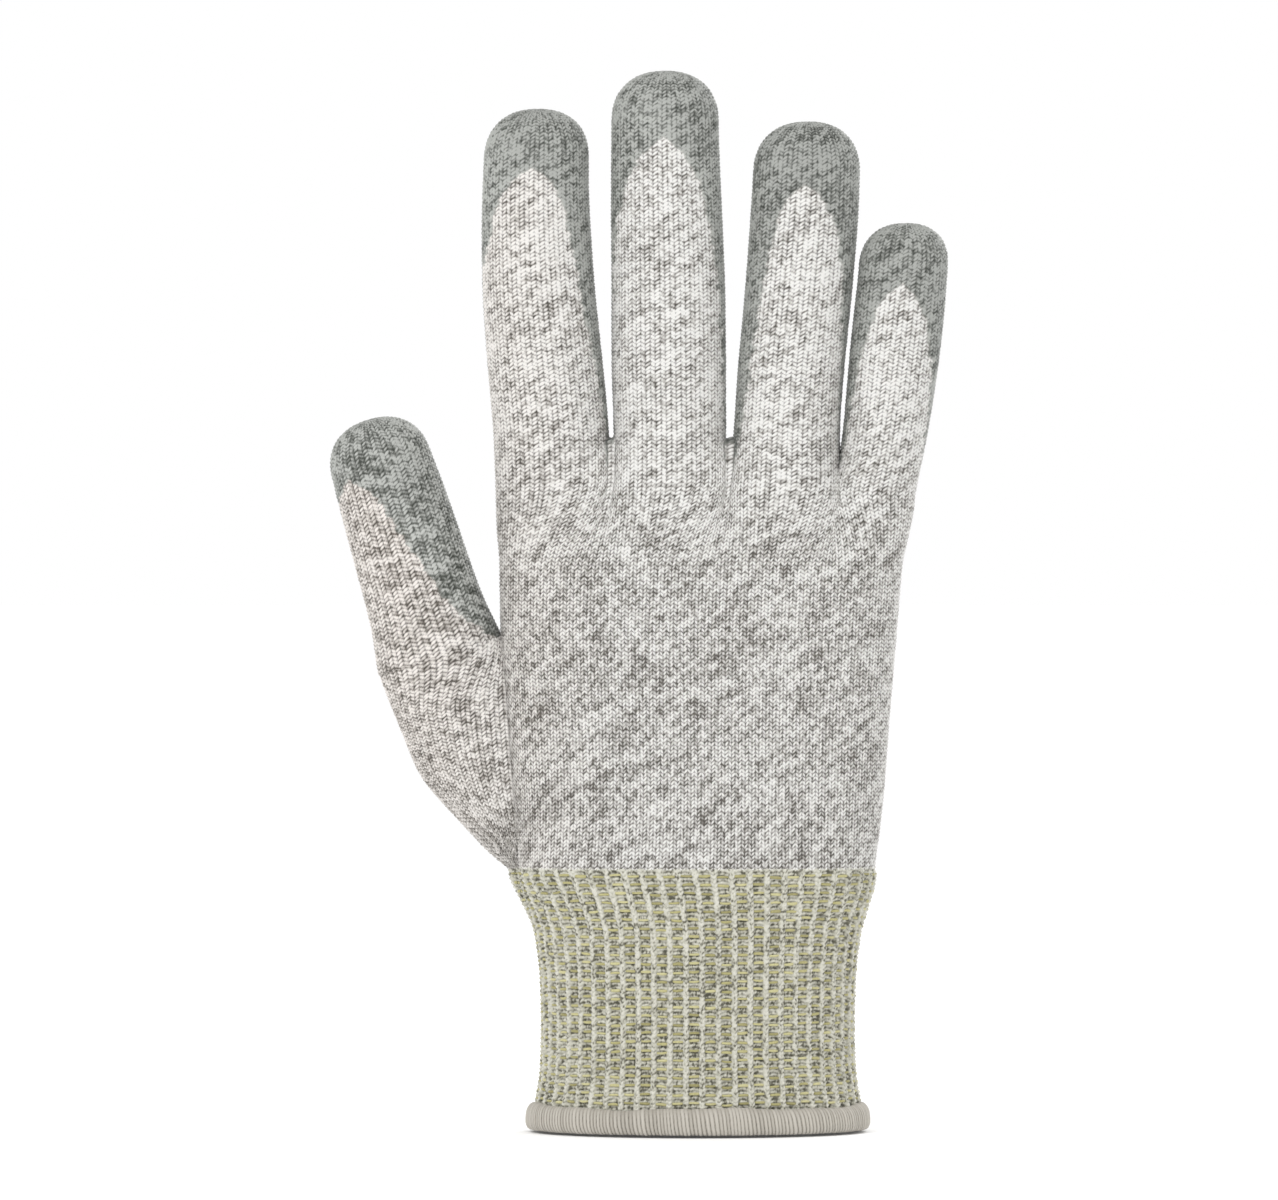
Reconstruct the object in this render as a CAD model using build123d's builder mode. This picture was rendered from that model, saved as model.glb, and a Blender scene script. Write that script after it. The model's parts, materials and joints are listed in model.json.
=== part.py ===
from build123d import *
import math
import os

# Knitted cut resistant glove for the right hand, size 9, coated on the palm.
# Frame: origin at the centre of the wrist opening, +Z to the fingertips,
# the palm faces -Y and the thumb stands out to +X. Millimetres.

os.makedirs("parts", exist_ok=True)

# --- shared thicknesses and gaps -------------------------------------------------
WALL = 1.2             # knitted liner
COAT = 0.7             # dipped coating on top of the liner
SEAM_GAP = 0.15        # half of the gap left between two pieces on different bodies
SIDE_BAND = 1.6        # how far the coating wraps round a finger onto the back
REACH = 200.0          # longer than the glove is wide, for cutting tools
ROUND = 2.0            # power of a plain ellipse
HAND_POWER = 2.5       # power of the fuller oval of the hand
OVAL_POINTS = 24       # points along one oval

# --- levels along the hand -------------------------------------------------------
HEM_TOP = 6.0          # overlocked edge
CUFF_TOP = 62.0        # end of the rib, start of the wrist fold
WRIST_TOP = 78.0       # end of the wrist fold
FOLD_LOW = 137.0       # fold across the knuckles
FOLD_HIGH = 153.0
LITTLE_WEB_TOP = 157.0
LITTLE_WEB_X = -33.3   # side of the little finger that faces the ring finger
MOUTH = 150.0          # where the finger tubes open into the palm

# --- rib cuff --------------------------------------------------------------------
# height, half width, half depth of its wall
CUFF = [
    (HEM_TOP, 38.0, 26.0),
    (12.0, 36.6, 25.4),
    (24.0, 36.2, 25.2),
    (38.0, 36.6, 25.0),
    (52.0, 38.6, 24.0),
    (CUFF_TOP, 41.5, 22.0),
]
SLACK = 0.04           # pieces laid round the wall stay this far off it
YARN_PITCH = 2.0       # courses of the elastic yarn
YARN_TALL = 0.7
YARN_DEEP = 0.45
YARN_FIRST = 8.5
YARN_LAST = 58.5
APRON_START = 0.9      # the coating on the rib bridges from crest to crest of its columns
HEM_BULGE = 2.2        # how far the overlocked edge stands proud of the wall
HEM_ROUND = 1.4
APRON_RADIUS = 43.0    # round lower edge of the coating on the rib
APRON_CENTRE = 71.0

# --- hand: height, left edge, right edge, half depth -----------------------------
HAND = [
    (CUFF_TOP, -41.5, 41.5, 22.0),
    (70.0, -42.6, 42.6, 19.8),
    (WRIST_TOP, -43.6, 43.2, 18.4),
    (97.0, -45.0, 44.6, 17.2),
    (115.0, -46.5, 46.2, 16.6),
    (FOLD_LOW, -48.3, 46.8, 15.6),
    (FOLD_HIGH, -50.6, 47.6, 13.2),
    (LITTLE_WEB_TOP + WALL, -51.2, 47.9, 12.0),
]
# thumb root inside the hand: x, z, lean from upright, half width, half depth
THUMB_ROOT = [
    (28.0, 60.0, 40.0, 9.0, 13.0),
    (37.5, 74.0, 36.0, 14.5, 16.0),
    (50.0, 93.0, 28.0, 18.2, 16.8),
    (61.0, 112.0, 17.0, 15.0, 14.0),
    (61.9, 114.9, 17.0, 14.6, 13.6),
]

# --- thumb ------------------------------------------------------------------------
THUMB_LEAN = 17.0
THUMB_ORIGIN = (61.0, 112.0)
# distance along the thumb, half width, half depth
THUMB = [
    (0.0, 15.0, 14.0),
    (3.0, 14.6, 13.6),
    (10.0, 13.4, 12.2),
    (17.0, 13.0, 11.4),
    (24.0, 12.8, 11.0),
    (32.0, 12.5, 10.8),
    (40.0, 12.2, 10.4),
    (46.0, 11.6, 9.8),
    (58.0, 11.6, 9.8),
]
THUMB_BREAKS = [3.0, 17.0, 24.0, 40.0]     # root fold, first link, knuckle, tip
THUMB_TIP = 58.0
THUMB_ARCH = (1.5, 44.0)                   # shift and top of the bare back of the thumb

# --- fingers ----------------------------------------------------------------------
# stations: height, centre, half width, half depth. breaks: root fold, first link,
# middle knuckle, second link, end knuckle, tip. arch: top of the bare back.
FINGERS = {
    "index": {
        "stations": [
            (MOUTH, 34.3, 13.2, 11.5),
            (165.0, 34.7, 13.3, 10.2),
            (179.0, 36.0, 13.3, 9.9),
            (198.0, 37.7, 12.9, 9.7),
            (217.0, 38.4, 12.3, 9.4),
            (228.0, 38.3, 11.9, 9.2),
            (241.0, 37.8, 11.9, 9.2),
        ],
        "breaks": [165.0, 181.0, 188.5, 208.0, 214.0, 226.0],
        "tip": 241.0,
        "arch": 226.5,
    },
    "middle": {
        "stations": [
            (MOUTH, 6.6, 13.2, 11.8),
            (165.0, 6.6, 12.8, 10.4),
            (180.0, 6.9, 13.1, 10.1),
            (200.0, 7.0, 13.0, 9.9),
            (220.0, 7.5, 12.6, 9.6),
            (236.0, 7.8, 12.2, 9.3),
            (250.0, 7.7, 12.2, 9.3),
        ],
        "breaks": [165.0, 181.0, 190.5, 210.5, 219.0, 231.0],
        "tip": 250.0,
        "arch": 233.5,
    },
    "ring": {
        "stations": [
            (MOUTH, -20.6, 13.0, 11.5),
            (165.0, -21.0, 12.0, 10.2),
            (179.0, -21.9, 12.1, 9.9),
            (198.0, -23.8, 12.2, 9.6),
            (217.0, -25.3, 12.3, 9.3),
            (226.0, -25.7, 12.1, 9.1),
            (238.0, -26.0, 12.1, 9.1),
        ],
        "breaks": [165.0, 181.0, 188.0, 207.5, 213.0, 225.0],
        "tip": 238.0,
        "arch": 223.0,
    },
    "little": {
        "stations": [
            (MOUTH, -41.0, 10.2, 10.2),
            (159.0, -43.5, 9.3, 9.4),
            (168.0, -44.8, 9.7, 9.1),
            (179.0, -46.1, 10.1, 8.9),
            (191.0, -47.4, 10.3, 8.7),
            (203.0, -48.6, 10.0, 8.3),
            (214.0, -49.2, 10.0, 8.3),
        ],
        "breaks": [159.0, 173.0, 175.5, 191.5, 194.0, 203.5],
        "tip": 214.0,
        "arch": 200.0,
    },
}
# share of the way up the rounded end, and of the full size there
DOME = [(0.3, 0.955), (0.6, 0.8), (0.8, 0.6), (0.93, 0.367), (1.0, 0.2)]


def between(stations, level):
    """The station at a level, straight between the two listed around it."""
    for low, high in zip(stations, stations[1:]):
        if low[0] <= level <= high[0]:
            share = (level - low[0]) / (high[0] - low[0])
            return tuple(a + share * (b - a) for a, b in zip(low, high))
    return stations[-1] if level > stations[-1][0] else stations[0]


def levels(stations, low, high):
    """The two ends of a stretch with every listed station inside it."""
    inside = [s for s in stations if low + 1.0 < s[0] < high - 1.0]
    return [between(stations, low), *inside, between(stations, high)]


def oval_face(plane, centre, half_width, half_depth, power=ROUND):
    """One oval section on a plane, drawn from the side away from the thumb."""
    points = []
    for k in range(OVAL_POINTS):
        turn = 2 * math.pi * k / OVAL_POINTS
        across = math.copysign(abs(math.cos(turn)) ** (2 / power), -math.cos(turn))
        deep = math.copysign(abs(math.sin(turn)) ** (2 / power), -math.sin(turn))
        points.append((centre + half_width * across, half_depth * deep))
    with BuildSketch(plane) as section:
        with BuildLine():
            Spline(*points, periodic=True)
        make_face()
    return section.sketch.faces()[0]


def thumb_plane(x, z, lean):
    """A section plane of the thumb, whose normal leans from upright towards +X."""
    s, c = math.sin(math.radians(lean)), math.cos(math.radians(lean))
    return Plane(origin=(x, 0, z), x_dir=(c, 0, -s), z_dir=(s, 0, c))


def along_thumb(distance):
    """The section plane at a distance along the thumb."""
    lean = math.radians(THUMB_LEAN)
    x = THUMB_ORIGIN[0] + distance * math.sin(lean)
    z = THUMB_ORIGIN[1] + distance * math.cos(lean)
    return thumb_plane(x, z, THUMB_LEAN)


def finger_faces(stations, low, high, grow=0.0):
    """Level sections of a finger between two heights."""
    found = []
    for z, x, width, depth in levels(stations, low, high):
        found.append(oval_face(Plane.XY.offset(z), x, width + grow, depth + grow))
    return found


def finger_tip_faces(stations, low, tip, grow=0.0):
    """Sections of a fingertip: its last straight stretch and a rounded end."""
    size = between(stations, tip)[2]
    start = tip - size
    found = finger_faces(stations, low, start, grow) if start - low > 1.0 else []
    if not found:
        z, x, width, depth = between(stations, low)
        found = [oval_face(Plane.XY.offset(low), x, width + grow, depth + grow)]
        start = low
    for rise, share in DOME:
        z = start + (tip + grow - start) * rise
        x, width, depth = between(stations, z)[1:]
        plane = Plane.XY.offset(z)
        found.append(oval_face(plane, x, (width + grow) * share, (depth + grow) * share))
    return found


def thumb_faces(low, high, grow=0.0):
    """Sections across the thumb between two distances along it."""
    found = []
    for t, width, depth in levels(THUMB, low, high):
        found.append(oval_face(along_thumb(t), 0.0, width + grow, depth + grow))
    return found


def thumb_tip_faces(low, grow=0.0):
    """Sections of the thumb's tip with its rounded end."""
    width, depth = THUMB[-1][1:]
    start = THUMB_TIP - width
    found = thumb_faces(low, start, grow)
    for rise, share in DOME:
        t = start + (THUMB_TIP + grow - start) * rise
        found.append(oval_face(along_thumb(t), 0.0, (width + grow) * share, (depth + grow) * share))
    return found


def hand_faces(grow=0.0):
    """Level sections of the hand from the wrist to the webs."""
    found = []
    for z, left, right, depth in HAND:
        plane = Plane.XY.offset(z)
        centre, half = (left + right) / 2, (right - left) / 2
        found.append(oval_face(plane, centre, half + grow, depth + grow, HAND_POWER))
    return found


def thumb_root_faces(grow=0.0):
    """Sections of the thumb's root, which swells out of the hand."""
    found = []
    for x, z, lean, width, depth in THUMB_ROOT:
        found.append(oval_face(thumb_plane(x, z, lean), 0.0, width + grow, depth + grow))
    return found


def keep_level(low, high):
    """Keeps only what lies between two heights of the part being built."""
    with BuildSketch(Plane.XY.offset(low)) as slab:
        Rectangle(2 * REACH, 2 * REACH)
    extrude(to_extrude=slab.sketch, amount=high - low, mode=Mode.INTERSECT)


def cut_back_window(left, right, low, arch=None):
    """Takes the coating off the back inside a window: up past the top, or to a pointed arch."""
    middle, half = (left + right) / 2, (right - left) / 2
    with BuildSketch(Plane.XZ) as window:
        if arch is None:
            with Locations((middle, low + REACH / 2)):
                Rectangle(2 * half, REACH)
        else:
            straight = max(arch - 2.0 * half, low - 1.0)
            with BuildLine():
                Polyline((left, straight), (left, low - REACH), (right, low - REACH), (right, straight))
                Spline((right, straight), (middle + 0.62 * half, arch - 0.75 * half), (middle, arch),
                       tangents=((0, 1), (-1, 0)))
                Spline((middle, arch), (middle - 0.62 * half, arch - 0.75 * half), (left, straight),
                       tangents=((-1, 0), (0, -1)))
            make_face()
    extrude(to_extrude=window.sketch, amount=-REACH, mode=Mode.SUBTRACT)


def cut_back_half():
    """Leaves the coating on the palm side only."""
    with BuildSketch(Plane.XZ) as back:
        Rectangle(4 * REACH, 4 * REACH)
    extrude(to_extrude=back.sketch, amount=-REACH, mode=Mode.SUBTRACT)


def save(piece, name):
    """Labels a finished piece and writes it."""
    piece.part.label = name
    export_step(piece.part, f"parts/{name}.step")


# =============================== hand and thumb root ==============================

with BuildPart() as hand_body:
    loft(sections=hand_faces())
    loft(sections=thumb_root_faces())

with BuildPart() as hand_space:
    loft(sections=hand_faces(-WALL))
    loft(sections=thumb_root_faces(-WALL))

with BuildPart() as hand_coat_body:
    loft(sections=hand_faces(COAT))
    loft(sections=thumb_root_faces(COAT))

HAND_ZONES = {
    "wrist": (CUFF_TOP + SEAM_GAP, WRIST_TOP - SEAM_GAP),
    "palm": (WRIST_TOP + SEAM_GAP, FOLD_LOW - SEAM_GAP),
    "knuckle_fold": (FOLD_LOW + SEAM_GAP, FOLD_HIGH - SEAM_GAP),
}

for zone, (low, high) in HAND_ZONES.items():
    with BuildPart() as zone_liner:
        add(hand_body.part)
        add(hand_space.part, mode=Mode.SUBTRACT)
        keep_level(low, high)
    save(zone_liner, f"{zone}_liner")

    with BuildPart() as zone_coating:
        add(hand_coat_body.part)
        add(hand_body.part, mode=Mode.SUBTRACT)
        keep_level(low, high)
        cut_back_half()
    save(zone_coating, f"{zone}_coating")

# =============================== finger bases and webs ============================

BASE_LOW = FOLD_HIGH + SEAM_GAP


def finger_root(name):
    """Where a finger's own root fold starts."""
    return FINGERS[name]["breaks"][0]


def webbed_base(grow):
    """The end of the hand with the four finger stubs that stand on it."""
    loft(sections=hand_faces(grow))
    for name, finger in FINGERS.items():
        top = finger_root(name) - SEAM_GAP
        loft(sections=finger_faces(finger["stations"], MOUTH, top, grow))


def trim_base():
    """Cuts the stubs level, the little finger's lower than the others."""
    keep_level(BASE_LOW, finger_root("index") - SEAM_GAP)
    top = finger_root("little") - SEAM_GAP
    with BuildSketch(Plane.XY.offset(top)) as over_little:
        with Locations((LITTLE_WEB_X - REACH / 2, 0)):
            Rectangle(REACH, REACH)
    extrude(to_extrude=over_little.sketch, amount=REACH, mode=Mode.SUBTRACT)


with BuildPart() as finger_base_liner:
    webbed_base(0.0)
    loft(sections=hand_faces(-WALL)[:-1], mode=Mode.SUBTRACT)
    for name, finger in FINGERS.items():
        tube = finger_faces(finger["stations"], MOUTH, finger_root(name), -WALL)
        loft(sections=tube, mode=Mode.SUBTRACT)
    trim_base()
save(finger_base_liner, "finger_base_liner")

with BuildPart() as finger_base_coating:
    webbed_base(COAT)
    webs = hand_faces()
    loft(sections=webs, mode=Mode.SUBTRACT)
    for name, finger in FINGERS.items():
        tube = finger_faces(finger["stations"], MOUTH, finger_root(name) - SEAM_GAP)
        loft(sections=tube, mode=Mode.SUBTRACT)
    trim_base()
    cut_back_half()
save(finger_base_coating, "finger_base_coating")

# =============================== fingers ==========================================


def window_of(stations, level):
    """Left and right edge of the bare back of a finger at a height."""
    x, width = between(stations, level)[1:3]
    return x - width + SIDE_BAND, x + width - SIDE_BAND


def tube_segment(stations, low, high):
    """A liner tube between two heights."""
    loft(sections=finger_faces(stations, low, high))
    loft(sections=finger_faces(stations, low, high, -WALL), mode=Mode.SUBTRACT)


def coat_segment(stations, low, high, arch):
    """The coating round a stretch of a finger, open over its bare back."""
    loft(sections=finger_faces(stations, low, high, COAT))
    loft(sections=finger_faces(stations, low, high), mode=Mode.SUBTRACT)
    left, right = window_of(stations, (low + high) / 2)
    cut_back_window(left, right, low, arch)


for name, finger in FINGERS.items():
    stations, arch = finger["stations"], finger["arch"]
    root, first, knuckle, second, end_knuckle, tip_low = finger["breaks"]

    for part_name, low, high in (("proximal", first, knuckle), ("middle", second, end_knuckle)):
        low, high = low + SEAM_GAP, high - SEAM_GAP
        with BuildPart() as link_liner:
            tube_segment(stations, low, high)
        save(link_liner, f"{name}_{part_name}_liner")

        with BuildPart() as link_coating:
            coat_segment(stations, low, high, arch)
        save(link_coating, f"{name}_{part_name}_coating")

    folds = (("root", root, first), ("knuckle", knuckle, second), ("end_knuckle", end_knuckle, tip_low))
    for part_name, low, high in folds:
        low, high = low + SEAM_GAP, high - SEAM_GAP
        with BuildPart() as fold_coat:
            coat_segment(stations, low, high, arch)
        with BuildPart() as fold:
            tube_segment(stations, low, high)
            add(fold_coat.part)
        save(fold, f"{name}_{part_name}_fold")

    low, tip = tip_low + SEAM_GAP, finger["tip"]
    with BuildPart() as tip_liner:
        loft(sections=finger_tip_faces(stations, low, tip))
        loft(sections=finger_tip_faces(stations, low, tip, -WALL), mode=Mode.SUBTRACT)
    save(tip_liner, f"{name}_tip_liner")

    with BuildPart() as tip_coating:
        loft(sections=finger_tip_faces(stations, low, tip, COAT))
        loft(sections=finger_tip_faces(stations, low, tip), mode=Mode.SUBTRACT)
        left, right = window_of(stations, tip_low)
        cut_back_window(left, right, low, arch)
    save(tip_coating, f"{name}_tip_coating")

# =============================== thumb ============================================


def cut_thumb_window():
    """Takes the coating off the back of the thumb, on its outer side, up to a pointed arch."""
    shift, arch = THUMB_ARCH
    half = THUMB[4][1] - SIDE_BAND
    left = -half + 4.0 * shift
    face = along_thumb(0.0)
    side = Plane(origin=face.origin, x_dir=face.x_dir, z_dir=(0, -1, 0))
    with BuildSketch(side) as window:
        with BuildLine():
            Polyline((left, arch - 22.0), (-half, -REACH / 8), (half + 6.0, -REACH / 8), (half + 6.0, arch - 14.0))
            Spline((half + 6.0, arch - 14.0), (half - 1.0, arch - 2.0), (half - 5.0, arch))
            Spline((half - 5.0, arch), (half - 9.0, arch - 5.0), (left, arch - 22.0))
        make_face()
    extrude(to_extrude=window.sketch, amount=-REACH, mode=Mode.SUBTRACT)


def thumb_segment(low, high):
    """A liner tube between two distances along the thumb."""
    loft(sections=thumb_faces(low, high))
    loft(sections=thumb_faces(low, high, -WALL), mode=Mode.SUBTRACT)


def thumb_coat_segment(low, high):
    """The coating round a stretch of the thumb."""
    loft(sections=thumb_faces(low, high, COAT))
    loft(sections=thumb_faces(low, high), mode=Mode.SUBTRACT)
    cut_thumb_window()


root, first, knuckle, tip_low = THUMB_BREAKS
for part_name, low, high in (
    ("root_fold", root, first),
    ("proximal", first, knuckle),
    ("knuckle_fold", knuckle, tip_low),
):
    low, high = low + SEAM_GAP, high - SEAM_GAP
    with BuildPart() as thumb_liner:
        thumb_segment(low, high)
    save(thumb_liner, f"thumb_{part_name}_liner")

    with BuildPart() as thumb_coating:
        thumb_coat_segment(low, high)
    save(thumb_coating, f"thumb_{part_name}_coating")

with BuildPart() as thumb_tip_liner:
    loft(sections=thumb_tip_faces(tip_low + SEAM_GAP))
    loft(sections=thumb_tip_faces(tip_low + SEAM_GAP, -WALL), mode=Mode.SUBTRACT)
save(thumb_tip_liner, "thumb_tip_liner")

with BuildPart() as thumb_tip_coating:
    loft(sections=thumb_tip_faces(tip_low + SEAM_GAP, COAT))
    loft(sections=thumb_tip_faces(tip_low + SEAM_GAP), mode=Mode.SUBTRACT)
    cut_thumb_window()
save(thumb_tip_coating, "thumb_tip_coating")

# =============================== rib cuff =========================================


def cuff_faces(grow):
    """Plain oval sections of the cuff, grown from its wall."""
    return [oval_face(Plane.XY.offset(z), 0.0, w + grow, d + grow) for z, w, d in CUFF]


def yarn_courses():
    """The level slices of the cuff that the elastic yarn fills."""
    count = int((YARN_LAST - YARN_FIRST) / YARN_PITCH) + 1
    middles = [(0, 0, YARN_FIRST + YARN_TALL / 2 + YARN_PITCH * k) for k in range(count)]
    with Locations(*middles):
        Box(REACH, REACH, YARN_TALL)


with BuildPart() as rib_cuff:
    loft(sections=cuff_faces(0.0))
    loft(sections=cuff_faces(-WALL), mode=Mode.SUBTRACT)
    keep_level(HEM_TOP, CUFF_TOP - SEAM_GAP)
save(rib_cuff, "rib_cuff")

with BuildPart() as yarn_slices:
    yarn_courses()

with BuildPart() as elastic_yarn:
    loft(sections=cuff_faces(YARN_DEEP))
    loft(sections=cuff_faces(SLACK), mode=Mode.SUBTRACT)
    add(yarn_slices.part, mode=Mode.INTERSECT)
save(elastic_yarn, "elastic_yarn")

with BuildPart() as cuff_coating:
    loft(sections=cuff_faces(APRON_START + COAT))
    loft(sections=cuff_faces(APRON_START), mode=Mode.SUBTRACT)
    with BuildSketch(Plane.XZ) as round_edge:
        with Locations((0, APRON_CENTRE)):
            Circle(APRON_RADIUS)
    extrude(to_extrude=round_edge.sketch, amount=REACH, mode=Mode.INTERSECT)
    keep_level(HEM_TOP, CUFF_TOP - SEAM_GAP)
save(cuff_coating, "cuff_coating")

hem_width, hem_depth = CUFF[0][1:]
with BuildPart() as overlock_hem:
    with BuildSketch(Plane.XY):
        Ellipse(hem_width + HEM_BULGE, hem_depth + HEM_BULGE)
        Ellipse(hem_width - WALL, hem_depth - WALL, mode=Mode.SUBTRACT)
    extrude(amount=HEM_TOP)
    fillet(overlock_hem.edges(), HEM_ROUND)
save(overlock_hem, "overlock_hem")
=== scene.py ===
"""Knitted cut resistant glove: a seamless heather liner, a dipped grey coating, a rib cuff with an
elastic yarn and an overlocked hem. The knit is real relief: every surface is a grid of wales and
courses, cut into the CAD's pieces."""

import json
import math

import bmesh
import bpy
import numpy as np
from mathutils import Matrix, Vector


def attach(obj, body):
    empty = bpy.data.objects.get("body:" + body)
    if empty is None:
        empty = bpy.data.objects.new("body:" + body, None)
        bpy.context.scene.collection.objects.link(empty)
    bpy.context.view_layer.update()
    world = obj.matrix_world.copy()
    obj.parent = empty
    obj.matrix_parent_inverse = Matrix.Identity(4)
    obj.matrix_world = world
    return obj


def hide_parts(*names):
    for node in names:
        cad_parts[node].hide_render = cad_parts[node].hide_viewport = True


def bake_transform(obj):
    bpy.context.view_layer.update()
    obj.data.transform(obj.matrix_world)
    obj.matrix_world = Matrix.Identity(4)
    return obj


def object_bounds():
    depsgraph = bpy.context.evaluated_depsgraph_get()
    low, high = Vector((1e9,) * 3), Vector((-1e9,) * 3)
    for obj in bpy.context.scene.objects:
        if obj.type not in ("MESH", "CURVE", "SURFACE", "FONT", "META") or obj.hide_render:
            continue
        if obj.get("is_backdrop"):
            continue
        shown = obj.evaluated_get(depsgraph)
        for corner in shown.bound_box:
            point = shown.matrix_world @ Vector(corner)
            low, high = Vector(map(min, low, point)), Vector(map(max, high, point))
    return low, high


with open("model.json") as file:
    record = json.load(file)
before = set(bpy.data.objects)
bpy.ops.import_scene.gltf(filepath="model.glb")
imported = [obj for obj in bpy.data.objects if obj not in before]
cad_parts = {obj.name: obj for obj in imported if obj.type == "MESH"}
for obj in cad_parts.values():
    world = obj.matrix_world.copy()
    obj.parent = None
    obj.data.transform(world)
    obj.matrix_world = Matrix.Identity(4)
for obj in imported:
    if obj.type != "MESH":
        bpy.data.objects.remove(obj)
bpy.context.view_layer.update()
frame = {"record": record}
MM = 0.001

# ---- knit ------------------------------------------------------------------------
COURSE = 0.92            # height of one row of stitches
WALE = 1.72              # width of one column of stitches on the hand
PER_WALE = 6
PER_COURSE = 4
ROW = COURSE / PER_COURSE
STITCH_HIGH = 0.42       # relief of the bare knit
LEG_RISE = 0.80          # rows that a stitch's leg climbs
BACK_COAT_RELIEF = 0.42  # relief of the coating where it is thin, on the back
PALM_COAT_RELIEF = 0.17  # and where it is thick, on the palm
PALM_SPLIT = 106.0       # the palm is two pieces high, to keep each mesh light
FINGER_PALER = 0.17      # the knit is paler on the fingers
COAT_OVER = 0.36         # the coating above the liner's surface
COAT_UNDER = -0.30       # where it has sunk out of sight
BARE_BELOW = 0.04        # a face with less of the coating than this has none
OTHER_SIDE = 300.0       # wales from the back's to the palm's, so that their yarn differs
THUMB_WALE = 400.0       # first wale of the thumb

# ---- driving dimensions, as in the CAD -------------------------------------------
CUFF_TOP, WRIST_TOP, FOLD_LOW, FOLD_HIGH = 62.0, 78.0, 137.0, 153.0
HEM_TOP = 6.0
WEB_TOP, LITTLE_WEB_TOP, LITTLE_WEB_X = 163.5, 157.0, -33.3
WEB_CLOSE = 14.0         # the hand thins over this height to the webs between the fingers
HAND_POWER = 2.5
FINGER_BLEND = 9.0       # how sharply the fingers' round forms meet the hand's
THUMB_BLEND = 2.8        # and the thumb's
# each of these begins at the first height and is complete over the second
SIDE_RISE = (132.0, 23.0)     # the hand's edges turn into the outer fingers' edges
FINGER_RISE = (139.0, 11.0)   # the fingers' round forms rise out of the hand
COAT_RISE = (148.0, 12.0)     # the hand's coated edge turns into the fingers'
PALE_RISE = (120.0, 60.0)     # the knit turns paler
CUFF = [(0.0, 38.4, 26.2), (HEM_TOP, 38.0, 26.0), (12.0, 36.6, 25.4), (24.0, 36.2, 25.2),
        (38.0, 36.6, 25.0), (52.0, 38.6, 24.0), (CUFF_TOP, 41.5, 22.0)]
HAND = [(CUFF_TOP, -41.5, 42.0, 22.0), (70.0, -42.6, 43.0, 19.8), (WRIST_TOP, -43.6, 43.8, 18.4),
        (97.0, -45.0, 45.4, 17.2), (116.0, -46.6, 46.6, 16.6), (FOLD_LOW, -48.3, 46.8, 15.6),
        (FOLD_HIGH, -50.6, 47.6, 13.2), (160.0, -51.2, 47.9, 12.0)]
THUMB_ROOT = [(28.0, 60.0, 40.0, 9.0, 13.0), (37.5, 74.0, 36.0, 14.5, 16.0),
              (50.0, 93.0, 28.0, 18.2, 16.8), (61.0, 112.0, 17.0, 15.0, 14.0)]
THUMB_LEAN = 17.0
THUMB_ORIGIN = (61.0, 112.0)
THUMB = [(0.0, 15.0, 14.0), (3.0, 14.6, 13.6), (10.0, 13.4, 12.2), (17.0, 13.0, 11.4),
         (24.0, 12.8, 11.0), (32.0, 12.5, 10.8), (40.0, 12.2, 10.4), (46.0, 11.6, 9.8),
         (58.0, 11.6, 9.8)]
THUMB_BREAKS = [3.0, 17.0, 24.0, 40.0]
THUMB_TIP = 58.0
THUMB_SQUARE = 14.0      # the thumb's stitches even out over this height to the crotch
THUMB_RISE = 26.0        # length over which the thumb's root rises out of the hand
THUMB_REACH = 12.0       # distance past the crotch that still shapes the hand
THUMB_NEAR = (8.0, 132.0)     # the root lies beyond this X and below this Z
THUMB_WALES = 15
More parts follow.
